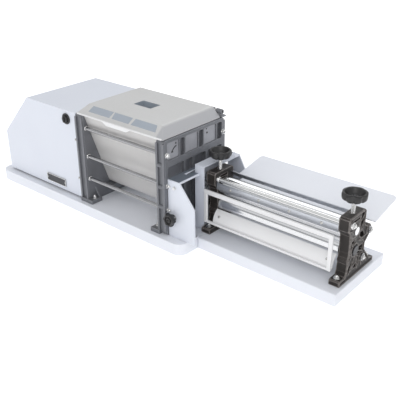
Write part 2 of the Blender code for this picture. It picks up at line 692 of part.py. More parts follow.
def make_adjuster(side, x):
    """The bearing block that carries one end of the upper roller, its screw and its knob."""
    block_x = (x - FRAME_THICKNESS / 2, x + FRAME_THICKNESS / 2)
    low, high = BLOCK_Z
    outline = rectangle(SHAFT_Y - BLOCK_HALF, SHAFT_Y + BLOCK_HALF, low, high)
    bore = circle((SHAFT_Y, SHAFT_Z), JOURNAL_RADIUS + GAP, 32)
    block = plate_object(f"bearing_block_{side}", "YZ", [outline, bore], *block_x)
    screw_end = SHAFT_Z + JOURNAL_RADIUS + GAP_TRAVEL + 0.0012
    cut(block, rod_object(f"block_bore_{side}", "Z", SHAFT_Z, high + 0.01, (x, SHAFT_Y),
                          SCREW_RADIUS + 0.0004, 20))
    register(block, "steel")
    screw = rod_object(f"adjust_screw_{side}", "Z", screw_end, KNOB_Z[0] - GAP, (x, SHAFT_Y),
                       SCREW_RADIUS, 20)
    register(screw, "steel")
    rim = lobed_outline((x, SHAFT_Y), KNOB_RADIUS, 7, 0.09)
    knob = plate_object(f"adjust_knob_{side}", "XY", [rim], *KNOB_Z, (x, SHAFT_Y))
    bevel(knob, 0.0018, 1)
    top = KNOB_Z[1]
    dish = [(0.0155, top + 0.002), (0.0125, top - 0.006), (0.0065, top - 0.006),
            (0.0045, top + 0.002)]
    groove = turned_object(f"knob_dish_{side}", "Z", (x, SHAFT_Y, 0), dish, 28)
    cut(knob, groove)
    register(knob, "knob_black")


def stepped_rod(name, place, radius, head_radius, look):
    """A tie rod along X: necks through both frames, with a head outside each of them."""
    neck = 0.003
    head = 0.004
    left_out = FRAME_LEFT - GAP
    left_in = FRAME_LEFT + FRAME_THICKNESS + GAP
    right_in = FRAME_RIGHT - FRAME_THICKNESS - GAP
    right_out = FRAME_RIGHT + GAP
    profile = [(0, right_out + head), (head_radius, right_out + head), (head_radius, right_out),
               (neck, right_out), (neck, right_in), (radius, right_in), (radius, left_in),
               (neck, left_in), (neck, left_out), (head_radius, left_out),
               (head_radius, left_out - head), (0, left_out - head)]
    rod = turned_object(name, "X", (0, *place), profile, 16)
    register(rod, look)


def make_rollers():
    """The two chrome rollers and the pair of gears that turns them against each other."""
    right_end = FRAME_RIGHT + 0.002
    for name, z, left_end in (("roller_upper", SHAFT_Z, COUPLING_X[2][0] + GAP),
                              ("roller_lower", LOWER_Z, 0.2325)):
        profile = [(0, right_end), (JOURNAL_RADIUS, right_end), (JOURNAL_RADIUS, FACE_RIGHT),
                   (ROLLER_RADIUS, FACE_RIGHT), (ROLLER_RADIUS, FACE_LEFT),
                   (JOURNAL_RADIUS, FACE_LEFT), (JOURNAL_RADIUS, left_end), (0, left_end)]
        register(turned_object(name, "X", (0, SHAFT_Y, z), profile, 40), "chrome")
    module = ROLLER_PITCH / ROLLER_TEETH
    half_tooth = math.pi / ROLLER_TEETH
    for name, z, phase in (("roller_gear_upper", SHAFT_Z, -math.pi / 2),
                           ("roller_gear_lower", LOWER_Z, math.pi / 2 + half_tooth)):
        axis = (SHAFT_Y, z)
        loops = [gear_outline(axis, ROLLER_TEETH, module, phase),
                 circle(axis, JOURNAL_RADIUS + GAP, 24)]
        register(plate_object(name, "YZ", loops, *ROLLER_GEAR_X, axis), "steel")


def make_gear_cover():
    """The white channel that covers the roller gears, beside the left frame."""
    x0, x1 = 0.2370, FRAME_LEFT - GAP
    y0, y1 = 0.058, 0.1285
    top = 0.1490
    wall = 0.002
    step_y, step_z = 0.1145, 0.1350
    slope = 0.007
    outer = [(y0, FLOOR), (y1, FLOOR), (y1, step_z - slope), (step_y, step_z), (step_y, top),
             (y0, top)]
    below = FLOOR - 0.01
    inner = [(y0 + wall, below), (y1 - wall, below), (y1 - wall, step_z - slope - wall),
             (step_y - wall, step_z - wall), (step_y - wall, top - wall), (y0 + wall, top - wall)]
    cover = plate_object("gear_cover", "YZ", [outer], x0, x1)
    cut(cover, plate_object("gear_cover_inside", "YZ", [inner], x0 + wall, x1 + 0.01))
    join(cover, box_object("gear_cover_fin", (x1 - wall, 0.1035, FRAME_TOP),
                           (x1, 0.1480, top)))
    through = (x0 - 0.01, x0 + 0.01)
    cut(cover, rod_object("gear_cover_upper_hole", "X", *through,
                          (SHAFT_Y, SHAFT_Z + GAP_TRAVEL / 2), 0.0105, 32))
    cut(cover, rod_object("gear_cover_lower_hole", "X", *through,
                          (SHAFT_Y, LOWER_Z), JOURNAL_RADIUS + 0.001, 32))
    register(cover, "sheet_white")


GUIDE_HOLES = 4


def make_outfeed():
    """The guide plate, the white outfeed surround and the curved chute under the rollers."""
    plate = rectangle(FACE_LEFT, FACE_RIGHT, 0.1085, 0.1210)
    pitch = (FACE_RIGHT - FACE_LEFT) / GUIDE_HOLES
    holes = [circle((FACE_LEFT + pitch * (i + 0.5), 0.115), 0.0018, 12)
             for i in range(GUIDE_HOLES)]
    register(plate_object("guide_plate", "XZ", [plate] + holes, 0.0700, 0.0715), "aluminium")

    x0, x1 = FRAME_LEFT + 0.0015, FACE_RIGHT - 0.0005
    rail = 0.007
    loops = [rectangle(x0, x1, 0.0430, 0.1080),
             rectangle(x0 + rail, x1 - rail, 0.0475, 0.1000)]
    surround = plate_object("outfeed_surround", "XZ", loops, 0.0556, 0.0596)
    bevel(surround, 0.0006, 1)
    register(surround, "white_plastic")

    centre = (0.086, 0.0460)
    outer, inner = 0.0260, 0.0240
    section = arc(centre, outer, 180, 120, 10) + arc(centre, inner, 120, 180, 10)
    chute = plate_object("outfeed_chute", "YZ", [section], FACE_LEFT, FACE_RIGHT)
    register(chute, "white_plastic")


def make_tray():
    """The sloping infeed tray: narrow between the frames and wide behind them."""
    front_y, front_z = 0.122, 0.0976
    left, right = 0.262, 0.543
    depth = 0.104 / math.cos(TRAY_SLOPE)
    shoulder = 0.027
    corner = 0.008
    outline = [(FACE_LEFT, 0), (FACE_RIGHT, 0), (FACE_RIGHT, shoulder), (right, shoulder)]
    outline += arc((right - corner, depth - corner), corner, 0, 90, 4)
    outline += arc((left + corner, depth - corner), corner, 90, 180, 4)
    outline += [(left, shoulder), (FACE_LEFT, shoulder)]
    tray = plate_object("infeed_tray", "XY", [outline], 0, 0.002)
    tray.location = (0, front_y, front_z)
    tray.rotation_euler = (TRAY_SLOPE, 0, 0)
    register(tray, "board")


def make_foot_bolts():
    """Bolts that hold the sheeter's frames to their board."""
    half = FRAME_THICKNESS / 2
    head = [(0, 0.0055), (0.0035, 0.0050), (0.0048, 0.0030), (0.0048, 0), (0, 0)]
    for side, x in (("left", FRAME_LEFT + half), ("right", FRAME_RIGHT - half)):
        bolt = turned_object(f"foot_bolt_{side}", "Z", (x, 0.061, 0.033 + GAP), head, 20)
        register(bolt, "steel")


def make_sheeter():
    """The frames, rollers, adjusters, rods, guards and tray."""
    make_sheeter_frame("frame_left", FRAME_LEFT, -1)
    make_sheeter_frame("frame_right", FRAME_RIGHT - FRAME_THICKNESS, 1)
    make_adjuster("left", FRAME_LEFT + FRAME_THICKNESS / 2)
    make_adjuster("right", FRAME_RIGHT - FRAME_THICKNESS / 2)
    stepped_rod("front_tie_rod", FRAME_RODS["front_tie_rod"], 0.0042, 0.0058, "aluminium")
    stepped_rod("rear_tie_rod", FRAME_RODS["rear_tie_rod"], 0.0040, 0.0058, "steel")
    stepped_rod("lower_tie_rod", FRAME_RODS["lower_tie_rod"], 0.0040, 0.0065, "steel")
    make_rollers()
    make_gear_cover()
    make_outfeed()
    make_tray()
    make_foot_bolts()


clear_scene()
model = new_collection("pasta_roller_machine")
cutters = new_collection("cutters")
anchor = bpy.data.objects.new("machine_origin", None)
anchor.location = (-CENTRE[0], -CENTRE[1], 0)
model.objects.link(anchor)
make_boards()
make_motor_cover()
make_drive()
make_kneader()
make_lid()
make_bracket()
make_coupling()
make_sheeter()
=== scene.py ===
"""Looks of the motorised pasta machine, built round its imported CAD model."""

import math

import bmesh
import bpy
from mathutils import Matrix, Vector


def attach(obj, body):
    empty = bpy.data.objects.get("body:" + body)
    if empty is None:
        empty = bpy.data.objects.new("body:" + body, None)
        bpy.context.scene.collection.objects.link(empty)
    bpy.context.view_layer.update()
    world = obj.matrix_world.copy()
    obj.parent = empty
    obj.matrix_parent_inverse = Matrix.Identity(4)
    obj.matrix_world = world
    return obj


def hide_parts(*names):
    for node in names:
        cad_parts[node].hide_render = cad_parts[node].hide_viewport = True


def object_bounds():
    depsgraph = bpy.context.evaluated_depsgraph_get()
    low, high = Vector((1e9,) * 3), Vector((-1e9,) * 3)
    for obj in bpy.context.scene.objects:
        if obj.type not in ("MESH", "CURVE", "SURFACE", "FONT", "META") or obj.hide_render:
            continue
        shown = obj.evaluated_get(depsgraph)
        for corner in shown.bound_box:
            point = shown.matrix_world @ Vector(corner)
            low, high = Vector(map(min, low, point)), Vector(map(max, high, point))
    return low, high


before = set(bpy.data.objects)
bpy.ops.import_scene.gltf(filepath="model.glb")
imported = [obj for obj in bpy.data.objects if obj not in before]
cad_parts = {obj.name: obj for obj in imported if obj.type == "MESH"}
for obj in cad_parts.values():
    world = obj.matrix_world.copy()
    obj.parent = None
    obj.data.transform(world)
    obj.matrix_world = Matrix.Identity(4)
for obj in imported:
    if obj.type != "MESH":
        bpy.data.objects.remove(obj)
cad_box = [list(corner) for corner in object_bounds()]

MACHINE = "machine"
TURN = 2 * math.pi


# ---------------------------------------------------------------- camera, floor and light

CAMERA_PLACE = (0.78293, -0.83491, 0.60086)
CAMERA_AZIMUTH = math.radians(40.575)
CAMERA_ELEVATION = math.radians(26.595)
CAMERA_ROLL = math.radians(-0.276)
CAMERA_LENS = 58.04
SENSOR_WIDTH = 36.0


def make_camera():
    """The camera at the front right, above the machine."""
    across = math.cos(CAMERA_ELEVATION)
    forward = Vector((-math.sin(CAMERA_AZIMUTH) * across, math.cos(CAMERA_AZIMUTH) * across,
                      -math.sin(CAMERA_ELEVATION)))
    right = forward.cross(Vector((0, 0, 1))).normalized()
    up = right.cross(forward)
    turned_right = right * math.cos(CAMERA_ROLL) + up * math.sin(CAMERA_ROLL)
    turned_up = up * math.cos(CAMERA_ROLL) - right * math.sin(CAMERA_ROLL)
    data = bpy.data.cameras.new("camera")
    data.lens = CAMERA_LENS
    data.sensor_width = SENSOR_WIDTH
    data.clip_start = 0.01
    camera = bpy.data.objects.new("camera", data)
    bpy.context.scene.collection.objects.link(camera)
    columns = Matrix((turned_right, turned_up, -forward)).transposed()
    camera.matrix_world = Matrix.Translation(CAMERA_PLACE) @ columns.to_4x4()
    bpy.context.scene.camera = camera


def area_light(name, place, target, size, power, colour=(1, 1, 1)):
    """A softbox that faces its target."""
    data = bpy.data.lights.new(name, "AREA")
    data.shape = "RECTANGLE"
    data.size, data.size_y = size
    data.energy = power
    data.color = colour
    light = bpy.data.objects.new(name, data)
    bpy.context.scene.collection.objects.link(light)
    light.location = place
    light.rotation_euler = (Vector(target) - Vector(place)).to_track_quat("-Z", "Y").to_euler()


HORIZON_GREY = (0.16, 0.165, 0.175, 1)
WALL_WHITE = (0.98, 0.99, 1.0, 1)
CEILING_DARK = (0.10, 0.10, 0.11, 1)
BACKDROP_WHITE = (1.1, 1.1, 1.1, 1)
HORIZON_END, WALL_START, WALL_END, CEILING_START = 0.52, 0.72, 0.955, 0.975
WORLD_STRENGTH = 0.90
FACTOR, COLOUR_A, COLOUR_B, MIXED = 0, 6, 7, 2        # a colour Mix node's sockets


def make_world():
    """A pale room: a grey floor up to the horizon, bright walls, and dark straight above.
    The camera itself sees a plain white backdrop."""
    world = bpy.data.worlds.new("studio")
    bpy.context.scene.world = world
    world.use_nodes = True
    nodes = world.node_tree.nodes
    links = world.node_tree.links
    place = nodes.new("ShaderNodeTexCoord")
    split = nodes.new("ShaderNodeSeparateXYZ")
    ramp = nodes.new("ShaderNodeValToRGB")
    for position, colour in ((WALL_START, WALL_WHITE), (WALL_END, WALL_WHITE),
                             (CEILING_START, CEILING_DARK)):
        ramp.color_ramp.elements.new(position).color = colour
    ramp.color_ramp.elements[0].position = HORIZON_END
    ramp.color_ramp.elements[0].color = HORIZON_GREY
    ramp.color_ramp.elements[-1].color = CEILING_DARK
    shift = nodes.new("ShaderNodeMapRange")
    shift.inputs["From Min"].default_value = -1
    links.new(place.outputs["Generated"], split.inputs[0])
    links.new(split.outputs["Z"], shift.inputs["Value"])
    links.new(shift.outputs["Result"], ramp.inputs["Fac"])
    path = nodes.new("ShaderNodeLightPath")
    backdrop = nodes.new("ShaderNodeMix")
    backdrop.data_type = "RGBA"
    backdrop.inputs[COLOUR_B].default_value = BACKDROP_WHITE
    links.new(path.outputs["Is Camera Ray"], backdrop.inputs[FACTOR])
    links.new(ramp.outputs["Color"], backdrop.inputs[COLOUR_A])
    links.new(backdrop.outputs[MIXED], nodes["Background"].inputs["Color"])
    nodes["Background"].inputs["Strength"].default_value = WORLD_STRENGTH
    bpy.context.scene.view_settings.view_transform = "Standard"


FLOOR_SIZE = 12
FLOOR_DROP = 0.0002                           # keeps the floor clear of the machine's base
FLOOR_GLOW = 0.40


def make_stage():
    """A large pale floor under the machine."""
    form = bmesh.new()
    bmesh.ops.create_grid(form, x_segments=1, y_segments=1, size=FLOOR_SIZE)
    mesh = bpy.data.meshes.new("floor")
    form.to_mesh(mesh)
    form.free()
    floor = bpy.data.objects.new("floor", mesh)
    bpy.context.scene.collection.objects.link(floor)
    floor.location.z = cad_box[0][2] - FLOOR_DROP
    surface = Surface("floor_paint", 0.6)
    surface.fix("Base Color", (0.94, 0.94, 0.945, 1))
    surface.fix("Emission Color", (1.0, 1.0, 1.0, 1))
    surface.fix("Emission Strength", FLOOR_GLOW)
    mesh.materials.append(surface.material)


WARM = (1.0, 0.99, 0.98)
COOL = (0.98, 0.99, 1.0)
MACHINE_MIDDLE = (0.0, 0.0, 0.1)
MACHINE_BASE = (0.0, 0.0, 0.0)


def make_lights():
    """Softboxes at the front right, above the back, and a weak one at the front left."""
    area_light("key_light", (1.3, -1.9, 1.5), MACHINE_MIDDLE, (1.3, 1.0), 14, WARM)
    area_light("back_light", (-0.5, 1.5, 1.9), MACHINE_BASE, (2.0, 1.2), 9, COOL)
    area_light("left_light", (-2.0, -1.2, 1.1), MACHINE_MIDDLE, (1.0, 1.2), 1)


# ---------------------------------------------------------------- materials

class Surface:
    """A Principled material that takes its patterns from the object's own coordinates."""

    def __init__(self, name, roughness, metallic=0.0):
        self.material = bpy.data.materials.new(name)
        self.material.use_nodes = True
        self.tree = self.material.node_tree
        self.shader = self.tree.nodes["Principled BSDF"]
        self.fix("Roughness", roughness)
        self.fix("Metallic", metallic)
        self.place = self.tree.nodes.new("ShaderNodeTexCoord").outputs["Object"]

    def fix(self, socket, value):
        """Gives one of the shader's sockets a constant."""
        self.shader.inputs[socket].default_value = value

    def add(self, kind, sources=(), **values):
        """Adds a node, links its inputs by name or number, and sets its properties."""
        node = self.tree.nodes.new(kind)
        for key, value in values.items():
            setattr(node, key, value)
        for key, source in dict(sources).items():
            if isinstance(source, bpy.types.NodeSocket):
                self.tree.links.new(source, node.inputs[key])
            else:
                node.inputs[key].default_value = source
        return node

    def stretched(self, factors):
        """The coordinates, scaled by a factor along each axis."""
        return self.add("ShaderNodeMapping", {"Vector": self.place, "Scale": factors}).outputs[0]

    def noise(self, scale, detail, factors=None):
        """A noise from 0 to 1; scale is in features per metre."""
        vector = self.stretched(factors) if factors else self.place
        sources = {"Vector": vector, "Scale": scale, "Detail": detail, "Roughness": 0.5}
        return self.add("ShaderNodeTexNoise", sources).outputs[0]

    def cells(self, scale):
        """Distance to the nearest point of a random cell pattern."""
        sources = {"Vector": self.place, "Scale": scale}
        return self.add("ShaderNodeTexVoronoi", sources).outputs["Distance"]

    def spread(self, source, low, high, start=0.3, end=0.7):
        """Maps a pattern from the range start to end on to low to high."""
        sources = {"Value": source, "From Min": start, "From Max": end, "To Min": low,
                   "To Max": high}
        return self.add("ShaderNodeMapRange", sources).outputs[0]

    def tint(self, source, low, high):
        """Mixes two colours by a pattern."""
        node = self.add("ShaderNodeMix", data_type="RGBA")
        self.tree.links.new(source, node.inputs[FACTOR])
        for socket, colour in ((COLOUR_A, low), (COLOUR_B, high)):
            if isinstance(colour, bpy.types.NodeSocket):
                self.tree.links.new(colour, node.inputs[socket])
            else:
                node.inputs[socket].default_value = (*colour, 1)
        return node.outputs[MIXED]

    def maths(self, operation, a, b):
        """Combines two patterns, or a pattern and a number."""
        return self.add("ShaderNodeMath", {0: a, 1: b}, operation=operation).outputs[0]

    def sum(self, a, b, share):
        """Adds share times the second pattern to the first."""
        return self.maths("ADD", a, self.maths("MULTIPLY", b, share))

    def edges(self, reach, low, high):
        """A mask that is 1 along the edges of the piece and 0 on its flats."""
        soft = self.add("ShaderNodeBevel", {"Radius": reach}, samples=4).outputs[0]
        flat = self.add("ShaderNodeNewGeometry").outputs["Normal"]
        dot = self.add("ShaderNodeVectorMath", {0: soft, 1: flat}, operation="DOT_PRODUCT")
        return self.spread(dot.outputs["Value"], 1.0, 0.0, low, high)

    def paint(self, source):
        """Links a colour to the shader."""
        self.tree.links.new(source, self.shader.inputs["Base Color"])

    def rough(self, source):
        """Links a roughness to the shader."""
        self.tree.links.new(source, self.shader.inputs["Roughness"])

    def bump(self, source, depth, strength=1.0):
        """Raises the surface by a pattern; depth is in metres."""
        sources = {"Height": source, "Distance": depth, "Strength": strength}
        node = self.add("ShaderNodeBump", sources)
        self.tree.links.new(node.outputs[0], self.shader.inputs["Normal"])


def board_plastic():
    """White polyethylene with a fine grain and faint scuffs."""
    surface = Surface("board_plastic", 0.5)
    cloud = surface.noise(9, 3)
    grain = surface.noise(1400, 2)
    scuff = surface.noise(40, 4, (1, 9, 1))
    surface.paint(surface.tint(cloud, (0.79, 0.81, 0.87), (0.83, 0.85, 0.90)))
    surface.rough(surface.spread(scuff, 0.40, 0.58))
    surface.bump(surface.sum(grain, scuff, 0.5), 0.00012)
    surface.fix("Subsurface Weight", 0.05)
    surface.fix("Subsurface Radius", (0.004, 0.004, 0.004))
    return surface.material


def powder_coat():
    """White powder coat with a fine orange peel."""
    surface = Surface("powder_coat", 0.38)
    peel = surface.noise(700, 1.5)
    cloud = surface.noise(12, 3)
    surface.paint(surface.tint(cloud, (0.70, 0.73, 0.81), (0.74, 0.77, 0.84)))
    surface.rough(surface.spread(surface.noise(160, 3), 0.30, 0.42))
    surface.bump(peel, 0.00010, 0.7)
    surface.fix("Coat Weight", 0.15)
    surface.fix("Coat Roughness", 0.25)
    return surface.material


def dark_paint(name="dark_paint", colour=(0.028, 0.028, 0.032)):
    """Black satin paint on sheet."""
    surface = Surface(name, 0.35)
    cloud = surface.noise(60, 3)
    surface.paint(surface.tint(cloud, colour, tuple(c * 1.6 for c in colour)))
    surface.rough(surface.spread(surface.noise(300, 2), 0.28, 0.46))
    surface.bump(surface.noise(1500, 2), 0.00005)
    return surface.material


def grey_casting(name, low, high):
    """Grey painted aluminium casting, lighter along its edges, from wear and a painted
    highlight.
    """
    surface = Surface(name, 0.5, 0.35)
    cloud = surface.noise(30, 4)
    base = surface.tint(cloud, low, high)
    # the edges are painted lighter: partly wear, partly a painted highlight on the rib edges
    worn_and_lit_edges = surface.edges(0.0016, 0.86, 0.995)
    patchy = surface.maths("MULTIPLY", worn_and_lit_edges, surface.noise(180, 3))
    surface.paint(surface.tint(patchy, base, (0.50, 0.51, 0.54)))
    surface.rough(surface.spread(surface.noise(240, 4), 0.38, 0.60))
    surface.bump(surface.sum(surface.noise(700, 3), surface.cells(420), 0.4), 0.00025, 0.7)
    return surface.material


def black_casting():
    """Black painted casting whose rib edges turn a brown grey, from wear and a painted
    highlight.
    """
    surface = Surface("black_casting", 0.42, 0.1)
    cloud = surface.noise(45, 4)
    base = surface.tint(cloud, (0.020, 0.018, 0.017), (0.042, 0.036, 0.033))
    # the rib edges are painted brown grey: partly worn paint, partly a painted highlight
    worn_and_lit_edges = surface.edges(0.0030, 0.90, 0.999)
    patches = surface.spread(surface.noise(260, 3), 0.45, 1.0)
    patchy = surface.maths("MULTIPLY", worn_and_lit_edges, patches)
    surface.paint(surface.tint(patchy, base, (0.36, 0.33, 0.315)))
    surface.fix("Specular IOR Level", 0.25)
    surface.rough(surface.spread(surface.noise(300, 4), 0.32, 0.52))
    surface.bump(surface.sum(surface.noise(800, 3), surface.cells(500), 0.3), 0.00020, 0.6)
    return surface.material


def brushed(name, low, high, roughness, lines=900, metallic=1.0):
    """Metal with brush marks along the machine."""
    surface = Surface(name, 0.3, metallic)
    marks = surface.noise(lines, 3, (0.02, 1, 1))
    cloud = surface.noise(25, 3)
    surface.paint(surface.tint(surface.sum(marks, cloud, 0.5), low, high))
    surface.rough(surface.spread(marks, *roughness))
    surface.bump(marks, 0.00001, 0.3)
    return surface.material


def turned_steel(name, low, high, roughness=(0.18, 0.34)):
    """Zinc-plated or turned metal with soft stains."""
    surface = Surface(name, 0.3, 1.0)
    cloud = surface.noise(120, 4)
    surface.paint(surface.tint(cloud, low, high))
    surface.rough(surface.spread(surface.noise(420, 3), *roughness))
    surface.bump(surface.noise(1800, 2), 0.00003, 0.6)
    return surface.material


def chrome():
    """Ground chrome: bright, with soft reflections and very fine marks round the roller."""
    surface = Surface("chrome", 0.1, 1.0)
    marks = surface.noise(2600, 2, (1, 0.02, 0.02))
    haze = surface.noise(18, 3)
    surface.paint(surface.tint(haze, (0.74, 0.75, 0.76), (0.82, 0.82, 0.83)))
    surface.rough(surface.spread(surface.sum(haze, marks, 0.6), 0.14, 0.24, 0.4, 1.1))
    surface.bump(haze, 0.00001, 0.2)
    return surface.material


CASTING_SHADE = (0.0600, 0.0640)              # where the painted shade on the lid begins, along the machine


def lid_plastic():
    """Frosted polycarbonate, with painted shade where it lies close over the right casting and a
    painted highlight along its edges.
    """
    surface = Surface("lid_plastic", 0.3)
    cloud = surface.noise(14, 3)
    base = surface.tint(cloud, (0.575, 0.57, 0.56), (0.605, 0.605, 0.605))
    along = surface.add("ShaderNodeSeparateXYZ", {0: surface.place}).outputs[0]
    # painted shade: the lid is darkened where it lies over the right casting
    painted_casting_shade = surface.spread(along, 0.0, 0.8, *CASTING_SHADE)
    base = surface.tint(painted_casting_shade, base, (0.40, 0.405, 0.43))
    # painted highlight: the lid's edges are painted lighter for the light along its ridges
    rim = surface.spread(surface.edges(0.0014, 0.90, 0.998), 0.0, 0.6, 0, 1)
    surface.paint(surface.tint(rim, base, (0.80, 0.80, 0.80)))
    surface.rough(surface.spread(surface.noise(200, 3), 0.36, 0.50))
    surface.bump(surface.noise(900, 2), 0.00003, 0.4)
    surface.fix("Subsurface Weight", 0.08)
    surface.fix("Subsurface Radius", (0.003, 0.003, 0.003))
    surface.fix("IOR", 1.58)
    surface.fix("Coat Weight", 0.2)
    surface.fix("Coat Roughness", 0.1)
    return surface.material


def black_plastic():
    """Moulded black phenolic plastic with a satin skin and a painted highlight along its edges.
    """
    surface = Surface("black_plastic", 0.4)
    cloud = surface.noise(90, 3)
    # painted highlight: the edges are painted lighter for the light that catches them
    edge_highlight = surface.edges(0.0010, 0.85, 0.99)
    base = surface.tint(cloud, (0.013, 0.013, 0.014), (0.026, 0.025, 0.026))
    edge_highlight = surface.spread(edge_highlight, 0.0, 0.35, 0, 1)
    surface.paint(surface.tint(edge_highlight, base, (0.16, 0.155, 0.15)))
    surface.rough(surface.spread(surface.noise(350, 3), 0.30, 0.48))
    surface.bump(surface.noise(1300, 2), 0.00008, 0.6)
    return surface.material


def window_plastic():
    """Bluish clear plastic."""
    surface = Surface("window_plastic", 0.16)
    cloud = surface.noise(22, 3)
    surface.paint(surface.tint(cloud, (0.36, 0.41, 0.47), (0.44, 0.48, 0.54)))
    surface.rough(surface.spread(surface.noise(90, 4), 0.10, 0.22))
    surface.bump(surface.noise(700, 2), 0.00004, 0.4)
    surface.fix("Alpha", 0.92)
    return surface.material


def white_plastic():
    """White moulded plastic, semi-gloss."""
    surface = Surface("white_plastic", 0.35)
    cloud = surface.noise(20, 3)
    surface.paint(surface.tint(cloud, (0.78, 0.78, 0.79), (0.84, 0.84, 0.845)))
    surface.rough(surface.spread(surface.noise(200, 3), 0.28, 0.42))
    surface.bump(surface.noise(900, 2), 0.00004, 0.5)
    return surface.material


def rubber():
    """Matt black rubber."""
    surface = Surface("rubber", 0.8)
    cloud = surface.noise(150, 4)
    surface.paint(surface.tint(cloud, (0.018, 0.018, 0.018), (0.045, 0.045, 0.045)))
    surface.rough(surface.spread(surface.noise(500, 3), 0.70, 0.90))
    surface.bump(surface.noise(1600, 3), 0.0001, 0.8)
    return surface.material


LOOKS = {
    "board": board_plastic(),
    "sheet": powder_coat(),
    "dark": dark_paint(),
    "grey": grey_casting("grey_casting", (0.155, 0.16, 0.175), (0.215, 0.22, 0.24)),
    # painted light: a lighter copy of the grey casting paint, for the panels that catch more
    # light
    "pale": grey_casting("lit_casting", (0.33, 0.335, 0.365), (0.42, 0.425, 0.455)),
    "black": black_casting(),
    "trough": brushed("trough_steel", (0.60, 0.59, 0.585), (0.66, 0.65, 0.64), (0.48, 0.60),
                      metallic=0.3),
    "bar": brushed("bar_steel", (0.30, 0.30, 0.31), (0.42, 0.42, 0.43), (0.16, 0.28), 1500),
    "steel": turned_steel("zinc_steel", (0.52, 0.52, 0.51), (0.70, 0.69, 0.67)),
    "chrome": chrome(),
    "lid": lid_plastic(),
    "plastic": black_plastic(),
    "white": white_plastic(),
    "rubber": rubber(),
    "window": window_plastic(),
    "bright": turned_steel("bright_steel", (0.70, 0.70, 0.70), (0.84, 0.84, 0.83), (0.10, 0.22)),
    "motor": dark_paint("motor_enamel", (0.09, 0.10, 0.11)),
    "aluminium": brushed("milled_aluminium", (0.52, 0.54, 0.58), (0.66, 0.68, 0.72),
                         (0.26, 0.40), 1200),
    # painted shade: a dark blue-grey sheet for the shade on the bracket's top
    "shade_sheet": brushed("painted_shade_sheet", (0.17, 0.20, 0.25), (0.24, 0.27, 0.32), (0.30, 0.45),
                    300, 0.4),
}

NODE_LOOKS = {
    "board": ("drive_board", "sheeter_board", "infeed_tray"),
    "sheet": ("motor_cover", "bracket", "gear_cover"),
    # the base plate is a real plate, and its dark paint is partly painted shade for the gap
    # under the drive cover
    "dark": ("cover_base_plate", "nameplate"),
    "grey": ("casting_left", "casting_right", "hinge_rail", "hinge_bracket_left",
             "hinge_bracket_right"),
    "black": ("frame_left", "frame_right", "bearing_block_left", "bearing_block_right"),
    "trough": ("trough", "kneader_shaft"),
    "bar": ("tie_rod_front_upper", "tie_rod_front_middle", "tie_rod_front_lower",
            "tie_rod_rear_upper", "tie_rod_rear_middle", "tie_rod_rear_lower",
            "rear_tie_rod", "lower_tie_rod", "front_tie_rod"),
    "steel": ("hinge_pin", "motor_cradle", "motor_shaft", "motor_pinion", "drive_gear",
              "adjust_screw_left", "adjust_screw_right", "roller_gear_upper",
              "roller_gear_lower", "foot_bolt_left", "foot_bolt_right"),
    "chrome": ("roller_upper", "roller_lower"),
    "lid": ("lid",),
    "plastic": ("switch_bezel", "switch_knob", "cable_gland", "hinge_knob",
                "clamp_knob_front", "clamp_knob_rear", "adjust_knob_left",
                "adjust_knob_right"),
    "white": ("outfeed_surround", "outfeed_chute"),
    "rubber": ("coupling_disc",),
    "motor": ("motor",),
    "aluminium": ("gearbox", "coupling_driver", "coupling_driven", "guide_plate"),
}


def dress_nodes():
    """Gives every CAD node its material."""
    for look, names in NODE_LOOKS.items():
        for name in names:
            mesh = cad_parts[name].data
            mesh.materials.clear()
            mesh.materials.append(LOOKS[look])


# ---------------------------------------------------------------- building pieces

# Pieces are placed in metres in the machine's own coordinates, as the CAD's are: x along it
# towards the sheeter, y from the cover's front to the back, and z up from the table.
CENTRE = Vector((0.139, 0.1061, 0.0))         # middle of the machine's footprint
PLANES = {
    "XY": Matrix(((1, 0, 0), (0, 1, 0), (0, 0, 1))),
    "XZ": Matrix(((1, 0, 0), (0, 0, 1), (0, 1, 0))),
    "YZ": Matrix(((0, 0, 1), (1, 0, 0), (0, 1, 0))),
}
DIRECTIONS = {"+X": (1, 0, 0), "-X": (-1, 0, 0), "+Y": (0, 1, 0), "-Y": (0, -1, 0),
              "+Z": (0, 0, 1)}


def finish_piece(name, form, look, body=MACHINE, bevel=0.0, smooth=35):
    """Turns a bmesh into a piece that rides a body and has its material."""
    bmesh.ops.recalc_face_normals(form, faces=form.faces)
    mesh = bpy.data.meshes.new(name)
    form.to_mesh(mesh)
    form.free()
    mesh.polygons.foreach_set("use_smooth", [True] * len(mesh.polygons))
    mesh.set_sharp_from_angle(angle=math.radians(smooth))
    mesh.materials.append(LOOKS[look])
    piece = bpy.data.objects.new(name, mesh)
    bpy.context.scene.collection.objects.link(piece)
    if bevel:
        round_edges(piece, bevel)
    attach(piece, body)
    return piece


def round_edges(obj, width):
    """Rounds the sharp edges of an object with a modifier."""
    modifier = obj.modifiers.new("rounded", "BEVEL")
    modifier.width = width
    modifier.segments = 2
    modifier.limit_method = "ANGLE"
    modifier.angle_limit = math.radians(40)
    modifier.harden_normals = True


def spin(form, rings, place, axis, count=32, closed=False):
    """Adds a turned body. Each ring has a height along the axis, and a radius or a function
    that gives the radius at an angle."""
    direction = DIRECTIONS[axis] if isinstance(axis, str) else axis
    turn = Vector(direction).to_track_quat("Z", "Y").to_matrix()
    base = Vector(place) - CENTRE
    loops = []
    for height, radius in rings:
        loop = []
        for i in range(count):
            angle = TURN * i / count
            reach = radius(angle) if callable(radius) else radius
            point = Vector((reach * math.cos(angle), reach * math.sin(angle), height))
            loop.append(form.verts.new(turn @ point + base))
        loops.append(loop)
    pairs = list(zip(loops, loops[1:] + loops[:1]))
    for low, high in pairs if closed else pairs[:-1]:
        for i in range(count):
            j = (i + 1) % count
            form.faces.new((low[i], low[j], high[j], high[i]))
    if not closed:
        form.faces.new(loops[0][::-1])
        form.faces.new(loops[-1])


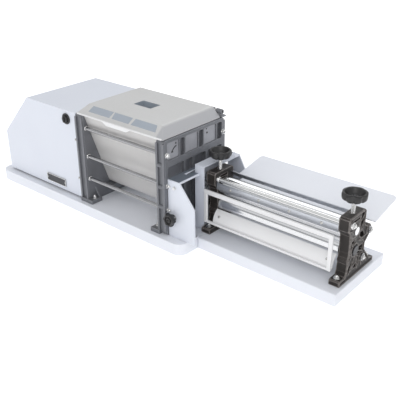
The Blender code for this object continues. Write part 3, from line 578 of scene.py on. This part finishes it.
def slab(form, outline, span, plane="XY", origin=None):
    """Adds a plate: an outline in a plane, from the first to the second value of span."""
    turn = PLANES[plane] if isinstance(plane, str) else plane
    base = Vector(origin or (0, 0, 0)) - CENTRE
    loops = [[form.verts.new(turn @ Vector((u, v, w)) + base) for u, v in outline]
             for w in span]
    form.faces.new(loops[0][::-1])
    form.faces.new(loops[1])
    for i in range(len(outline)):
        j = (i + 1) % len(outline)
        form.faces.new((loops[0][i], loops[0][j], loops[1][j], loops[1][i]))


def hoop(form, outer, inner, span, plane="XY", origin=None):
    """Adds a frame between two outlines that have as many points as each other."""
    turn = PLANES[plane] if isinstance(plane, str) else plane
    base = Vector(origin or (0, 0, 0)) - CENTRE
    low, high = span
    rings = [[form.verts.new(turn @ Vector((u, v, w)) + base) for u, v in outline]
             for outline, w in ((outer, low), (outer, high), (inner, high), (inner, low))]
    count = len(outer)
    for near, far in zip(rings, rings[1:] + rings[:1]):
        for i in range(count):
            j = (i + 1) % count
            form.faces.new((near[i], near[j], far[j], far[i]))


def rectangle(x0, x1, y0, y1, corner=0.0, steps=4):
    """Outline of a rectangle, with rounded corners where a corner radius is given."""
    if not corner:
        return [(x0, y0), (x1, y0), (x1, y1), (x0, y1)]
    points = []
    middles = ((x1 - corner, y0 + corner, -90), (x1 - corner, y1 - corner, 0),
               (x0 + corner, y1 - corner, 90), (x0 + corner, y0 + corner, 180))
    for x, y, start in middles:
        for step in range(steps + 1):
            angle = math.radians(start + 90 * step / steps)
            points.append((x + corner * math.cos(angle), y + corner * math.sin(angle)))
    return points


def lobed(radius, depth, lobes, sharpness=1.0):
    """A radius that dips by depth between evenly spaced lobes."""
    return lambda angle: radius - depth * (0.5 - 0.5 * math.cos(lobes * angle)) ** sharpness


def threaded(core, depth, pitch, start, end):
    """Rings of a screw thread between two heights, four to a turn."""
    def radius_at(height):
        def radius(angle):
            phase = (height / pitch - angle / TURN) % 1.0
            return core + depth * (1 - abs(2 * phase - 1))
        return radius
    count = max(2, round((end - start) / pitch * 4))
    heights = [start + (end - start) * i / count for i in range(count + 1)]
    return [(height, radius_at(height)) for height in heights]


WASHER_THICKNESS = 0.0009
CHAMFER = 0.0003


def bolt(name, place, axis, across, height, washer=0.0, stud=0.0):
    """A hexagon bolt head, or a nut with the end of its stud, on a washer if its radius is
    given."""
    form = bmesh.new()
    base = WASHER_THICKNESS if washer else 0.0
    corner = across / math.sqrt(3)
    if washer:
        spin(form, [(0, washer), (base * 0.8, washer), (base, washer * 0.96)], place, axis, 28)
    top = base + height
    spin(form, [(base, corner * 0.95), (base + CHAMFER, corner), (base + height * 0.8, corner),
                (top, corner * 0.84)], place, axis, 6)
    middle = across * 0.27
    tip = top + max(stud, CHAMFER)
    spin(form, [(top, middle), (tip, middle), (tip + CHAMFER, middle * 0.8)], place, axis, 18)
    return finish_piece(name, form, "bright")


def socket_screw(name, place, axis, radius, height):
    """A domed screw with a hexagon socket."""
    form = bmesh.new()
    turn = math.pi / 3

    def hexagon(angle):
        return radius * 0.42 / math.cos((angle + turn / 2) % turn - turn / 2)

    spin(form, [(0, radius), (height * 0.35, radius), (height * 0.75, radius * 0.88),
                (height, radius * 0.60), (height, hexagon), (height * 0.3, hexagon)],
         place, axis, 36)
    finish_piece(name, form, "steel")


# ---------------------------------------------------------------- the drive end

COVER_FRONT = 0.0
COVER_BACK = 0.1846
COVER_SCREW = (0.0026, 0.0014)                # radius and height
PLATE_HEIGHT = 0.0435                         # middle of the name plate
LOUVRES = 7


def cover_details():
    """Screws of the drive cover, its louvres, and the frame round the plain name plate."""
    for side, y, way in (("front", COVER_FRONT, "-Y"), ("rear", COVER_BACK, "+Y")):
        for level, z in (("upper", 0.1496), ("lower", 0.0687)):
            socket_screw(f"cover_screw_{side}_{level}", (-0.0165, y, z), way, *COVER_SCREW)
    for level, z in (("upper", 0.100), ("lower", 0.040)):
        socket_screw(f"cover_screw_end_{level}", (-0.2400, COVER_BACK, z), "+Y", *COVER_SCREW)
    form = bmesh.new()
    for row in range(LOUVRES):
        z = 0.100 + 0.011 * row
        slab(form, rectangle(-0.130, -0.060, z, z + 0.0042, 0.0020),
             (COVER_BACK, COVER_BACK + 0.0016), "XZ")
    finish_piece("cover_louvres", form, "sheet", bevel=0.0012)

    form = bmesh.new()
    hoop(form, rectangle(-0.1210, -0.0610, 0.0350, 0.0520, 0.0010),
         rectangle(-0.1198, -0.0622, 0.0362, 0.0508, 0.0006), (-0.0019, -0.0012), "XZ")
    finish_piece("nameplate_border", form, "bright", bevel=0.0002)
    for side, x in (("left", -0.1180), ("right", -0.0640)):
        form = bmesh.new()
        spin(form, [(0, 0.0012), (0.0003, 0.0012), (0.0006, 0.0008), (0.0007, 0.0003)],
             (x, -0.0013, PLATE_HEIGHT), "-Y", 16)
        finish_piece(f"nameplate_rivet_{side}", form, "bright")


def switch_details():
    """A ribbed collar round the switch and the raised pointer on its knob."""
    form = bmesh.new()
    place = (-0.039, -0.0003, 0.187)
    rings = [(0.0, 0.0108), (0.0018, 0.0108), (0.0026, 0.0100), (0.0026, 0.0086),
             (0.0, 0.0086)]
    spin(form, rings, place, "-Y", 40, closed=True)
    finish_piece("switch_collar", form, "plastic")
    form = bmesh.new()
    slab(form, rectangle(-0.0399, -0.0381, 0.1865, 0.1938, 0.0007), (-0.0089, -0.0084), "XZ")
    finish_piece("switch_pointer", form, "dark", "switch", bevel=0.0002)


def gland_details():
    """The hexagon cap of the cable gland at the back of the cover."""
    form = bmesh.new()
    place = (-0.200, 0.1849, 0.060)
    spin(form, [(0.0, 0.0118), (0.0045, 0.0118), (0.0052, 0.0112)], place, "+Y", 6)
    finish_piece("gland_hexagon", form, "plastic")


# ---------------------------------------------------------------- the kneader

ROD_HEIGHTS = (("upper", 0.178), ("middle", 0.121), ("lower", 0.074))
ROD_DEPTHS = (("front", 0.0045), ("rear", 0.1565))
LEFT_FACE = 0.0095                            # the left casting's face towards the trough
RIGHT_INNER = 0.2003                          # the right casting's face towards the trough
RIGHT_FACE = 0.220                            # its face towards the sheeter
PANEL_DEPTH = 0.0022                          # from that face down to the lighter panels of painted light
RIB_HEIGHTS = (0.0312, 0.1995)
RIB_DEPTHS = ((-0.0040, 0.0010), (0.1590, 0.1640))


def casting_details():
    """Ribs and gussets of the two end castings, the ledges that hold the trough, and the lugs,
    panels, plugs and curved slot of the right one; the panels are a lighter copy of the paint
    for painted light, and the slot is a dark band of painted shade."""
    for side, outer, inner in (("left", (-0.0106, -0.0066), (0.0055, 0.0094)),
                               ("right", (0.2004, 0.2046), (0.2152, 0.2198))):
        form = bmesh.new()
        for x0, x1 in (outer, inner):
            for depths in RIB_DEPTHS:
                slab(form, rectangle(x0, x1, *RIB_HEIGHTS), depths, "XZ")
        finish_piece(f"casting_ribs_{side}", form, "grey", bevel=0.0008)
    for level, z in (("upper", 0.1585), ("middle", 0.1170), ("lower", 0.0785)):
        form = bmesh.new()
        spin(form, [(0, 0.0036), (0.0008, 0.0044), (0.0162, 0.0044), (0.0170, 0.0036),
                    (0.0170, 0.0020), (0.0140, 0.0018)], (0.2002, 0.0004, z), "+X", 24)
        finish_piece(f"casting_lug_{level}", form, "grey")
    for side, x0, x1 in (("left", LEFT_FACE - 0.001, 0.0215),
                         ("right", RIGHT_INNER + 0.001, 0.1885)):
        for end, y in (("front", 0.0158), ("rear", 0.1412)):
            form = bmesh.new()
            slab(form, [(x0, 0.0300), (x1, 0.0300), (x1, 0.0330), (x0, 0.0520)],
                 (y, y + 0.0030), "XZ")
            finish_piece(f"casting_gusset_{side}_{end}", form, "grey", bevel=0.0006)
    for side, x0, x1 in (("left", LEFT_FACE - 0.0005, 0.0265),
                         ("right", 0.1833, RIGHT_INNER + 0.0005)):
        form = bmesh.new()
        slab(form, [(0.045, 0.0485), (0.095, 0.0485), (0.095, 0.0445), (0.080, 0.0385),
                    (0.058, 0.0385), (0.045, 0.0445)], (x0, x1), "YZ")
        finish_piece(f"trough_ledge_{side}", form, "grey", bevel=0.0008)
    pocket = RIGHT_FACE - PANEL_DEPTH
    # painted light: the panels are thin plates in the lighter copy of the casting paint
    for i, (y0, y1) in enumerate(((0.0063, 0.0367), (0.0533, 0.0867), (0.1033, 0.1377))):
        form = bmesh.new()
        slab(form, rectangle(y0, y1, 0.1673, 0.1987, 0.0010, 2), (pocket - 0.0010, pocket),
             "YZ")
        finish_piece(f"casting_lit_panel_{i}", form, "pale", bevel=0.0003)
    for i, (y, z, radius) in enumerate(((0.0300, 0.1930, 0.0016), (0.1120, 0.1955, 0.0012),
                                        (0.1135, 0.1880, 0.0019), (0.0215, 0.1790, 0.0014))):
        form = bmesh.new()
        spin(form, [(-0.0005, radius), (0.0004, radius), (0.0007, radius * 0.8),
                    (0.0004, radius * 0.5)], (pocket, y, z), "+X", 20)
        finish_piece(f"casting_plug_{i}", form, "plastic")
    # painted shade: a dark band stands for the shade inside the curved slot
    form = bmesh.new()
    arc = [(0.0180 + 0.0130 * t, 0.1795 + 0.0095 * math.sin(t * math.pi / 2))
           for t in (0, 0.15, 0.3, 0.45, 0.6, 0.8, 1.0)]
    lower = [(y + 0.0008, z - 0.0020) for y, z in arc[::-1]]
    slab(form, arc + lower, (pocket - 0.0005, pocket + 0.0005), "YZ")
    finish_piece("casting_slot_shade", form, "plastic", bevel=0.0003)


def kneader_details():
    """Bolts of the castings' feet, and the collars and nuts of the tie rods."""
    for side, x in (("left", 0.0150), ("right", 0.1908)):
        for end, y in (("front", 0.0085), ("rear", 0.1515)):
            bolt(f"casting_bolt_{side}_{end}", (x, y, 0.0310), "+Z", 0.0075, 0.0042, 0.0054,
                 stud=0.002)
    for side, y in ROD_DEPTHS:
        for level, z in ROD_HEIGHTS:
            bolt(f"tie_rod_nut_{side}_{level}", (RIGHT_FACE, y, z), "+X", 0.0075, 0.0034,
                 0.0050, stud=0.0022)
            for end, x, way in (("left", LEFT_FACE + 0.0003, "+X"),
                                ("right", RIGHT_INNER - 0.0003, "-X")):
                form = bmesh.new()
                spin(form, [(0, 0.0049), (0.0030, 0.0049), (0.0036, 0.0043),
                            (0.0036, 0.0036), (0, 0.0036)], (x, y, z), way, 28, closed=True)
                finish_piece(f"tie_rod_collar_{side}_{level}_{end}", form, "bright")
    bolt("casting_rear_bolt", (0.2100, 0.1640, 0.1630), "+Y", 0.0060, 0.0030, 0.0040)


SLOPE_RUN, SLOPE_RISE = 0.0200, 0.0184        # of the lid's front slope
WINDOW_HEIGHTS = (0.0112, 0.0246)             # measured up the slope
# x of each window's left edge, at its foot and its head, and of its right edge
WINDOW_EDGES = ((0.0220, 0.0270, 0.0780, 0.0820), (0.0850, 0.0850, 0.1280, 0.1310),
                (0.1340, 0.1380, 0.1940, 0.1900))


def lid_details():
    """The tab and the lip, in white plastic that paints light on the lid's front edge, the
    windows in the front slope and the lined filling slot of the lid."""
    # painted light: the tab and the lip are white, lighter than the lid they belong to, for the
    # light on its front edge
    form = bmesh.new()
    tab = [(0.0650, 0.2085), (0.0780, 0.2012), (0.0800, 0.2006), (0.1300, 0.2006),
           (0.1320, 0.2012), (0.1440, 0.2085)]
    slab(form, tab, (-0.0045, -0.0012), "XZ")
    finish_piece("lid_tab", form, "white", "lid", bevel=0.0009)
    form = bmesh.new()
    slab(form, [(-0.0034, 0.2056), (-0.0008, 0.2056), (-0.0008, 0.2082), (-0.0026, 0.2082)],
         (-0.0030, 0.2150), "YZ")
    finish_piece("lid_lip", form, "white", "lid", bevel=0.0006)

    slope = Vector((0.0, SLOPE_RUN, SLOPE_RISE)).normalized()
    across = Vector((1, 0, 0))
    out = across.cross(slope)
    plane = Matrix((across, slope, out)).transposed()
    low, high = WINDOW_HEIGHTS
    for i, (left_low, left_high, right_low, right_high) in enumerate(WINDOW_EDGES):
        form = bmesh.new()
        outline = [(left_low, low), (right_low, low), (right_high, high), (left_high, high)]
        slab(form, outline, (-0.0006, 0.0005), plane, (0, -0.0030, 0.2056))
        finish_piece(f"lid_window_{i}", form, "window", "lid", bevel=0.0004)

    form = bmesh.new()
    hoop(form, rectangle(0.0740, 0.1260, 0.0640, 0.0980, 0.0030),
         rectangle(0.0775, 0.1225, 0.0675, 0.0945, 0.0016), (0.2212, 0.2244))
    finish_piece("lid_slot_rim", form, "lid", "lid", bevel=0.0005)
    form = bmesh.new()
    hoop(form, rectangle(0.0766, 0.1234, 0.0666, 0.0954, 0.0016),
         rectangle(0.0778, 0.1222, 0.0678, 0.0942, 0.0010), (0.2075, 0.2236))
    finish_piece("lid_slot_chute", form, "window", "lid", bevel=0.0002)


HINGE_END = (0.2038, 0.1585, 0.215)           # where the pin leaves its right bracket


def hinge_details():
    """The light end cap of the hinge pin, with painted shade in its bore, and the rail's screws.
    """
    form = bmesh.new()
    spin(form, [(0, 0.0042), (0.0006, 0.0047), (0.0126, 0.0047), (0.0138, 0.0041),
                (0.0140, 0.0028), (0.0080, 0.0026)], HINGE_END, "+X", 32)
    cap = finish_piece("hinge_cap", form, "grey")
    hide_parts("hinge_knob")
    # painted shade: a dark plug in the bore stands for the shade inside it
    form = bmesh.new()
    spin(form, [(0.0085, 0.0025), (0.0128, 0.0025), (0.0132, 0.0020)], HINGE_END, "+X", 24)
    finish_piece("hinge_bore_shade", form, "plastic")
    for i, x in enumerate((0.030, 0.100, 0.170)):
        socket_screw(f"rail_screw_{i}", (x, 0.1640, 0.2080), "+Z", 0.0022, 0.0014)


# ---------------------------------------------------------------- bracket and clamps

CLAMP_X, CLAMP_Z = 0.2335, 0.0635
STRIP_HEIGHTS = (0.1338, 0.1345)              # of the dark strip of painted shade on the bracket's top
# x and y from and to, round the opening in the bracket's top
STRIPS = ((0.2212, 0.2455, 0.0060, 0.0385), (0.2212, 0.2275, 0.0385, 0.0755),
          (0.2340, 0.2455, 0.0385, 0.0565), (0.2340, 0.2360, 0.0565, 0.0755),
          (0.2212, 0.2360, 0.0755, 0.1740))


def bracket_details():
    """The bracket's fixing bolt, its fold and the dark strip of painted shade along its top."""
    bolt("bracket_bolt", (0.2365, 0.0045, 0.1215), "-Y", 0.0052, 0.0026, 0.0034)
    form = bmesh.new()
    slab(form, rectangle(0.2210, 0.2300, 0.1318, 0.1336, 0.0006), (0.0030, 0.0050), "XZ")
    finish_piece("bracket_fold", form, "sheet", bevel=0.0004)
    # painted shade: dark strips laid on the bracket's top where shade falls
    for i, strip in enumerate(STRIPS):
        form = bmesh.new()
        slab(form, rectangle(*strip), STRIP_HEIGHTS)
        finish_piece(f"bracket_shade_strip_{i}", form, "shade_sheet", bevel=0.0002)


def clamp_details():
    """The two lobed clamp knobs with their studs, and the washers on the bracket."""
    for side, y, way, back, stud_end, washer_y in (
            ("front", -0.0010, "-Y", "+Y", 0.0145, 0.0045),
            ("rear", 0.1805, "+Y", "-Y", 0.1650, 0.1750)):
        body = f"clamp_{side}"
        place = (CLAMP_X, y, CLAMP_Z)
        form = bmesh.new()
        rings = [(0.0, 0.0074), (0.0010, lobed(0.0100, 0.0010, 6)),
                 (0.0030, lobed(0.0124, 0.0020, 6)), (0.0080, lobed(0.0129, 0.0022, 6)),
                 (0.0102, lobed(0.0120, 0.0018, 6)), (0.0110, lobed(0.0100, 0.0010, 6)),
                 (0.0104, 0.0078), (0.0078, 0.0066), (0.0074, 0.0050), (0.0098, 0.0046),
                 (0.0106, 0.0038), (0.0106, 0.0020), (0.0092, 0.0018)]
        spin(form, rings, place, way, 72)
        knob = finish_piece(f"clamp_handle_{side}", form, "plastic", body)
        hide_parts(f"clamp_knob_{side}")
        form = bmesh.new()
        thread = threaded(0.0029, 0.0005, 0.0010, 0, abs(y - stud_end))
        spin(form, [(-0.0004, 0.0030)] + thread, place, back, 20)
        finish_piece(f"clamp_thread_{side}", form, "bright", body)
        form = bmesh.new()
        spin(form, [(0.0, 0.0060), (0.0010, 0.0060), (0.0012, 0.0056)],
             (CLAMP_X, washer_y, CLAMP_Z), way, 28)
        finish_piece(f"clamp_washer_{side}", form, "bright")


# ---------------------------------------------------------------- the sheeter

SHAFT_Y = 0.092
LOWER_ROLLER_Z = 0.0744
KNOB_X = {"left": 0.2665, "right": 0.5290}    # also the middles of the two frames
WHEEL_Z = 0.1580                              # underside of the handwheels
GRIP = 0.0024                                 # depth of the dips round a handwheel's rim
# y and z of the rods between the frames
FRAME_RODS = {"front": (0.0740, 0.1260), "rear": (0.135, 0.094), "lower": (0.118, 0.051)}
BETWEEN_FRAMES = (0.2757, 0.5198)             # x of the rollers' faces
CHUTE_NORMAL = (0, -0.866, 0.5)
GUIDE_SCREWS = 4


def adjuster_details():
    """The threaded gap screws with their handwheels."""
    for side, x in KNOB_X.items():
        body = f"adjuster_{side}"
        form = bmesh.new()
        thread = threaded(0.0030, 0.0006, 0.0015, 0.1202, 0.1582)
        spin(form, thread, (x, SHAFT_Y, 0), "+Z", 24)
        screw = finish_piece(f"gap_screw_{side}", form, "bright", body, smooth=60)
        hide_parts(f"adjust_screw_{side}")
        form = bmesh.new()
        rings = [(0.0, 0.0062), (0.0003, 0.0085), (0.0010, lobed(0.0125, GRIP / 2, 8, 3)),
                 (0.0026, lobed(0.0168, GRIP, 8, 3)), (0.0052, lobed(0.0196, GRIP, 8, 3)),
                 (0.0086, lobed(0.0204, GRIP, 8, 3)), (0.0122, lobed(0.0205, GRIP, 8, 3)),
                 (0.0144, lobed(0.0201, GRIP / 2, 8, 3)), (0.0156, lobed(0.0190, GRIP / 4, 8)),
                 (0.0160, 0.0176), (0.0156, 0.0162), (0.0140, 0.0150), (0.0108, 0.0134),
                 (0.0070, 0.0106), (0.0046, 0.0082), (0.0040, 0.0066), (0.0050, 0.0058),
                 (0.0084, 0.0054), (0.0094, 0.0047), (0.0096, 0.0034), (0.0082, 0.0030)]
        spin(form, rings, (x, SHAFT_Y, WHEEL_Z), "+Z", 96)
        wheel = finish_piece(f"handwheel_{side}", form, "plastic", body)
        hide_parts(f"adjust_knob_{side}")
        form = bmesh.new()
        spin(form, [(0.0080, 0.0027), (0.0094, 0.0027), (0.0098, 0.0022)],
             (x, SHAFT_Y, WHEEL_Z), "+Z", 6)
        finish_piece(f"handwheel_nut_{side}", form, "dark", body)


def rod_details():
    """The hatched front bar between the frames, and the nuts at the ends of the three rods."""
    form = bmesh.new()
    hatch = threaded(0.00382, 0.00015, 0.0016, 0.2830, 0.5130)
    rings = [(0.2532, 0.0052), (0.2538, 0.0058), (0.2571, 0.0058), (0.2572, 0.0030),
             (0.2758, 0.0030), (0.2758, 0.0048), (0.2764, 0.0053), (0.2798, 0.0053),
             (0.2806, 0.0048), (0.2812, 0.0040)] + hatch
    rings += [(0.5150, 0.0039), (0.5197, 0.0039), (0.5197, 0.0030), (0.5383, 0.0030),
              (0.5383, 0.0058), (0.5417, 0.0058), (0.5423, 0.0052)]
    spin(form, rings, (0, *FRAME_RODS["front"]), "+X", 24)
    bar = finish_piece("hatched_bar", form, "bright")
    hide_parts("front_tie_rod")
    for name, place in FRAME_RODS.items():
        bolt(f"rod_nut_{name}", (0.5422, *place), "+X", 0.0078, 0.0026, stud=0.0012)


def frame_details():
    """Bolts of the frames' feet, the guard over the infeed, and the screws of the guide
    plate and the chute."""
    for side, x in KNOB_X.items():
        front = bolt(f"frame_bolt_front_{side}", (x, 0.0610, 0.0333), "+Z", 0.0072, 0.0036,
                     0.0056, stud=0.0012)
        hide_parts(f"foot_bolt_{side}")
        bolt(f"frame_bolt_rear_{side}", (x, 0.1560, 0.0328), "+Z", 0.0072, 0.0036, 0.0050)
    form = bmesh.new()
    slab(form, [(0.1190, 0.1192), (0.1136, 0.1288), (0.1126, 0.1296), (0.1114, 0.1290),
                (0.1116, 0.1280), (0.1128, 0.1278), (0.1178, 0.1188)], BETWEEN_FRAMES, "YZ")
    finish_piece("feed_guard", form, "aluminium", bevel=0.0003)
    for i in range(GUIDE_SCREWS):
        socket_screw(f"guide_screw_{i}", (0.2765 + 0.060625 * (i + 0.5), 0.0700, 0.1150), "-Y",
                     0.0028, 0.0012)
    for side, x in (("left", 0.2880), ("right", 0.5075)):
        socket_screw(f"chute_screw_{side}", (x, 0.0635, 0.0590), CHUTE_NORMAL, 0.0026, 0.0012)


WEB_WIDTH = 0.0018
RIM_WIDTH = 0.0020
# y and z round a frame, from the foot at the back over the top to the foot at the front
FRAME_OUTLINE = ((0.1630, 0.0234), (0.1630, 0.0310), (0.1500, 0.0340), (0.1260, 0.0620),
                 (0.1260, 0.0740), (0.1404, 0.0862), (0.1445, 0.0940), (0.1404, 0.1018),
                 (0.1303, 0.1022), (0.1190, 0.1100), (0.1190, 0.1350), (0.1160, 0.1380),
                 (0.0700, 0.1380), (0.0670, 0.1350), (0.0670, 0.1150), (0.0740, 0.1060),
                 (0.0760, 0.0740), (0.0745, 0.0655), (0.0725, 0.0600), (0.0745, 0.0545),
                 (0.0730, 0.0400), (0.0700, 0.0330), (0.0540, 0.0330), (0.0520, 0.0310),
                 (0.0520, 0.0234))
# y and z of each web's two ends
WEB_LINES = (((0.1045, 0.1040), (0.1190, 0.1210)), ((0.1045, 0.1210), (0.1190, 0.1340)),
             ((0.1025, 0.0960), (0.1260, 0.0740)), ((0.1040, 0.0870), (0.1300, 0.0880)),
             ((0.0760, 0.1040), (0.0815, 0.0960)), ((0.0770, 0.0960), (0.0840, 0.0840)),
             ((0.0680, 0.1150), (0.0810, 0.1120)), ((0.1030, 0.0690), (0.1230, 0.0600)),
             ((0.0840, 0.0650), (0.0740, 0.0560)), ((0.0940, 0.0620), (0.0800, 0.0330)),
             ((0.0980, 0.0630), (0.1110, 0.0540)), ((0.1000, 0.0600), (0.1060, 0.0330)),
             ((0.0850, 0.0430), (0.1030, 0.0480)), ((0.1130, 0.0450), (0.1060, 0.0330)),
             ((0.1240, 0.0460), (0.1400, 0.0330)), ((0.1180, 0.0430), (0.1220, 0.0330)))
# y, z, outer radius and inner radius of each boss
WEB_RINGS = ((SHAFT_Y, LOWER_ROLLER_Z, 0.0128, 0.0104), (0.1180, 0.0510, 0.0080, 0.0056),
             (0.0740, 0.1260, 0.0072, 0.0052), (0.1350, 0.0940, 0.0080, 0.0056))


def inset(outline, width):
    """The outline moved inward by a width, point for point."""
    points = [Vector(point) for point in outline]
    moved = []
    for i, point in enumerate(points):
        before = (point - points[i - 1]).normalized()
        after = (points[(i + 1) % len(points)] - point).normalized()
        inward = Vector((-before.y - after.y, before.x + after.x)).normalized()
        reach = width / max(0.5, inward.dot(Vector((-before.y, before.x))))
        moved.append(tuple(point + inward * reach))
    return moved


def web_details():
    """The raised rim, bosses and slanting webs on the outer side of the sheeter's frames, and a
    dark cap over the end of the lower roller that paints the shade of the hole there."""
    for side, face, way in (("left", 0.2575, -1), ("right", 0.5380, 1)):
        form = bmesh.new()
        hoop(form, inset(FRAME_OUTLINE, 0.0003), inset(FRAME_OUTLINE, RIM_WIDTH),
             (face - way * 0.0010, face + way * 0.0014), "YZ")
        finish_piece(f"frame_rim_{side}", form, "black", bevel=0.0004)
        for i, ends in enumerate(WEB_LINES):
            start, end = (Vector(point) for point in ends)
            along = (end - start).normalized()
            beside = Vector((-along.y, along.x)) * WEB_WIDTH / 2
            outline = [start - beside, end - beside, end + beside, start + beside]
            form = bmesh.new()
            slab(form, outline, (face - way * 0.0060, face + way * 0.0012), "YZ")
            finish_piece(f"frame_web_{side}_{i}", form, "black", bevel=0.0004)
        for i, (y, z, outer, inner) in enumerate(WEB_RINGS):
            form = bmesh.new()
            spin(form, [(-0.0004, outer), (0.0011, outer), (0.0016, outer - 0.0005),
                        (0.0016, inner), (-0.0004, inner)], (face, y, z),
                 "+X" if way > 0 else "-X", 32, closed=True)
            finish_piece(f"frame_boss_{side}_{i}", form, "black")
    # painted shade: a dark cap stands for the shade of the hole at the end of the lower roller
    form = bmesh.new()
    spin(form, [(0, 0.0085), (0.0008, 0.0085), (0.0014, 0.0078), (0.0012, 0.0030)],
         (0.5401, SHAFT_Y, LOWER_ROLLER_Z), "+X", 32)
    finish_piece("journal_hole_shade", form, "dark")


NODE_EDGES = {"drive_board": 0.0022, "sheeter_board": 0.0022, "motor_cover": 0.0009,
              "gear_cover": 0.0006, "bracket": 0.0006, "infeed_tray": 0.0006,
              "nameplate": 0.0002}


def soften_nodes():
    """Rounds the long edges of the CAD's boards and sheets."""
    for name, width in NODE_EDGES.items():
        round_edges(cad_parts[name], width)


make_camera()
make_world()
make_stage()
make_lights()
dress_nodes()
soften_nodes()
for details in (cover_details, switch_details, gland_details, casting_details, kneader_details,
                lid_details, hinge_details, bracket_details, clamp_details, adjuster_details,
                rod_details, frame_details, web_details):
    details()

bpy.context.view_layer.update()
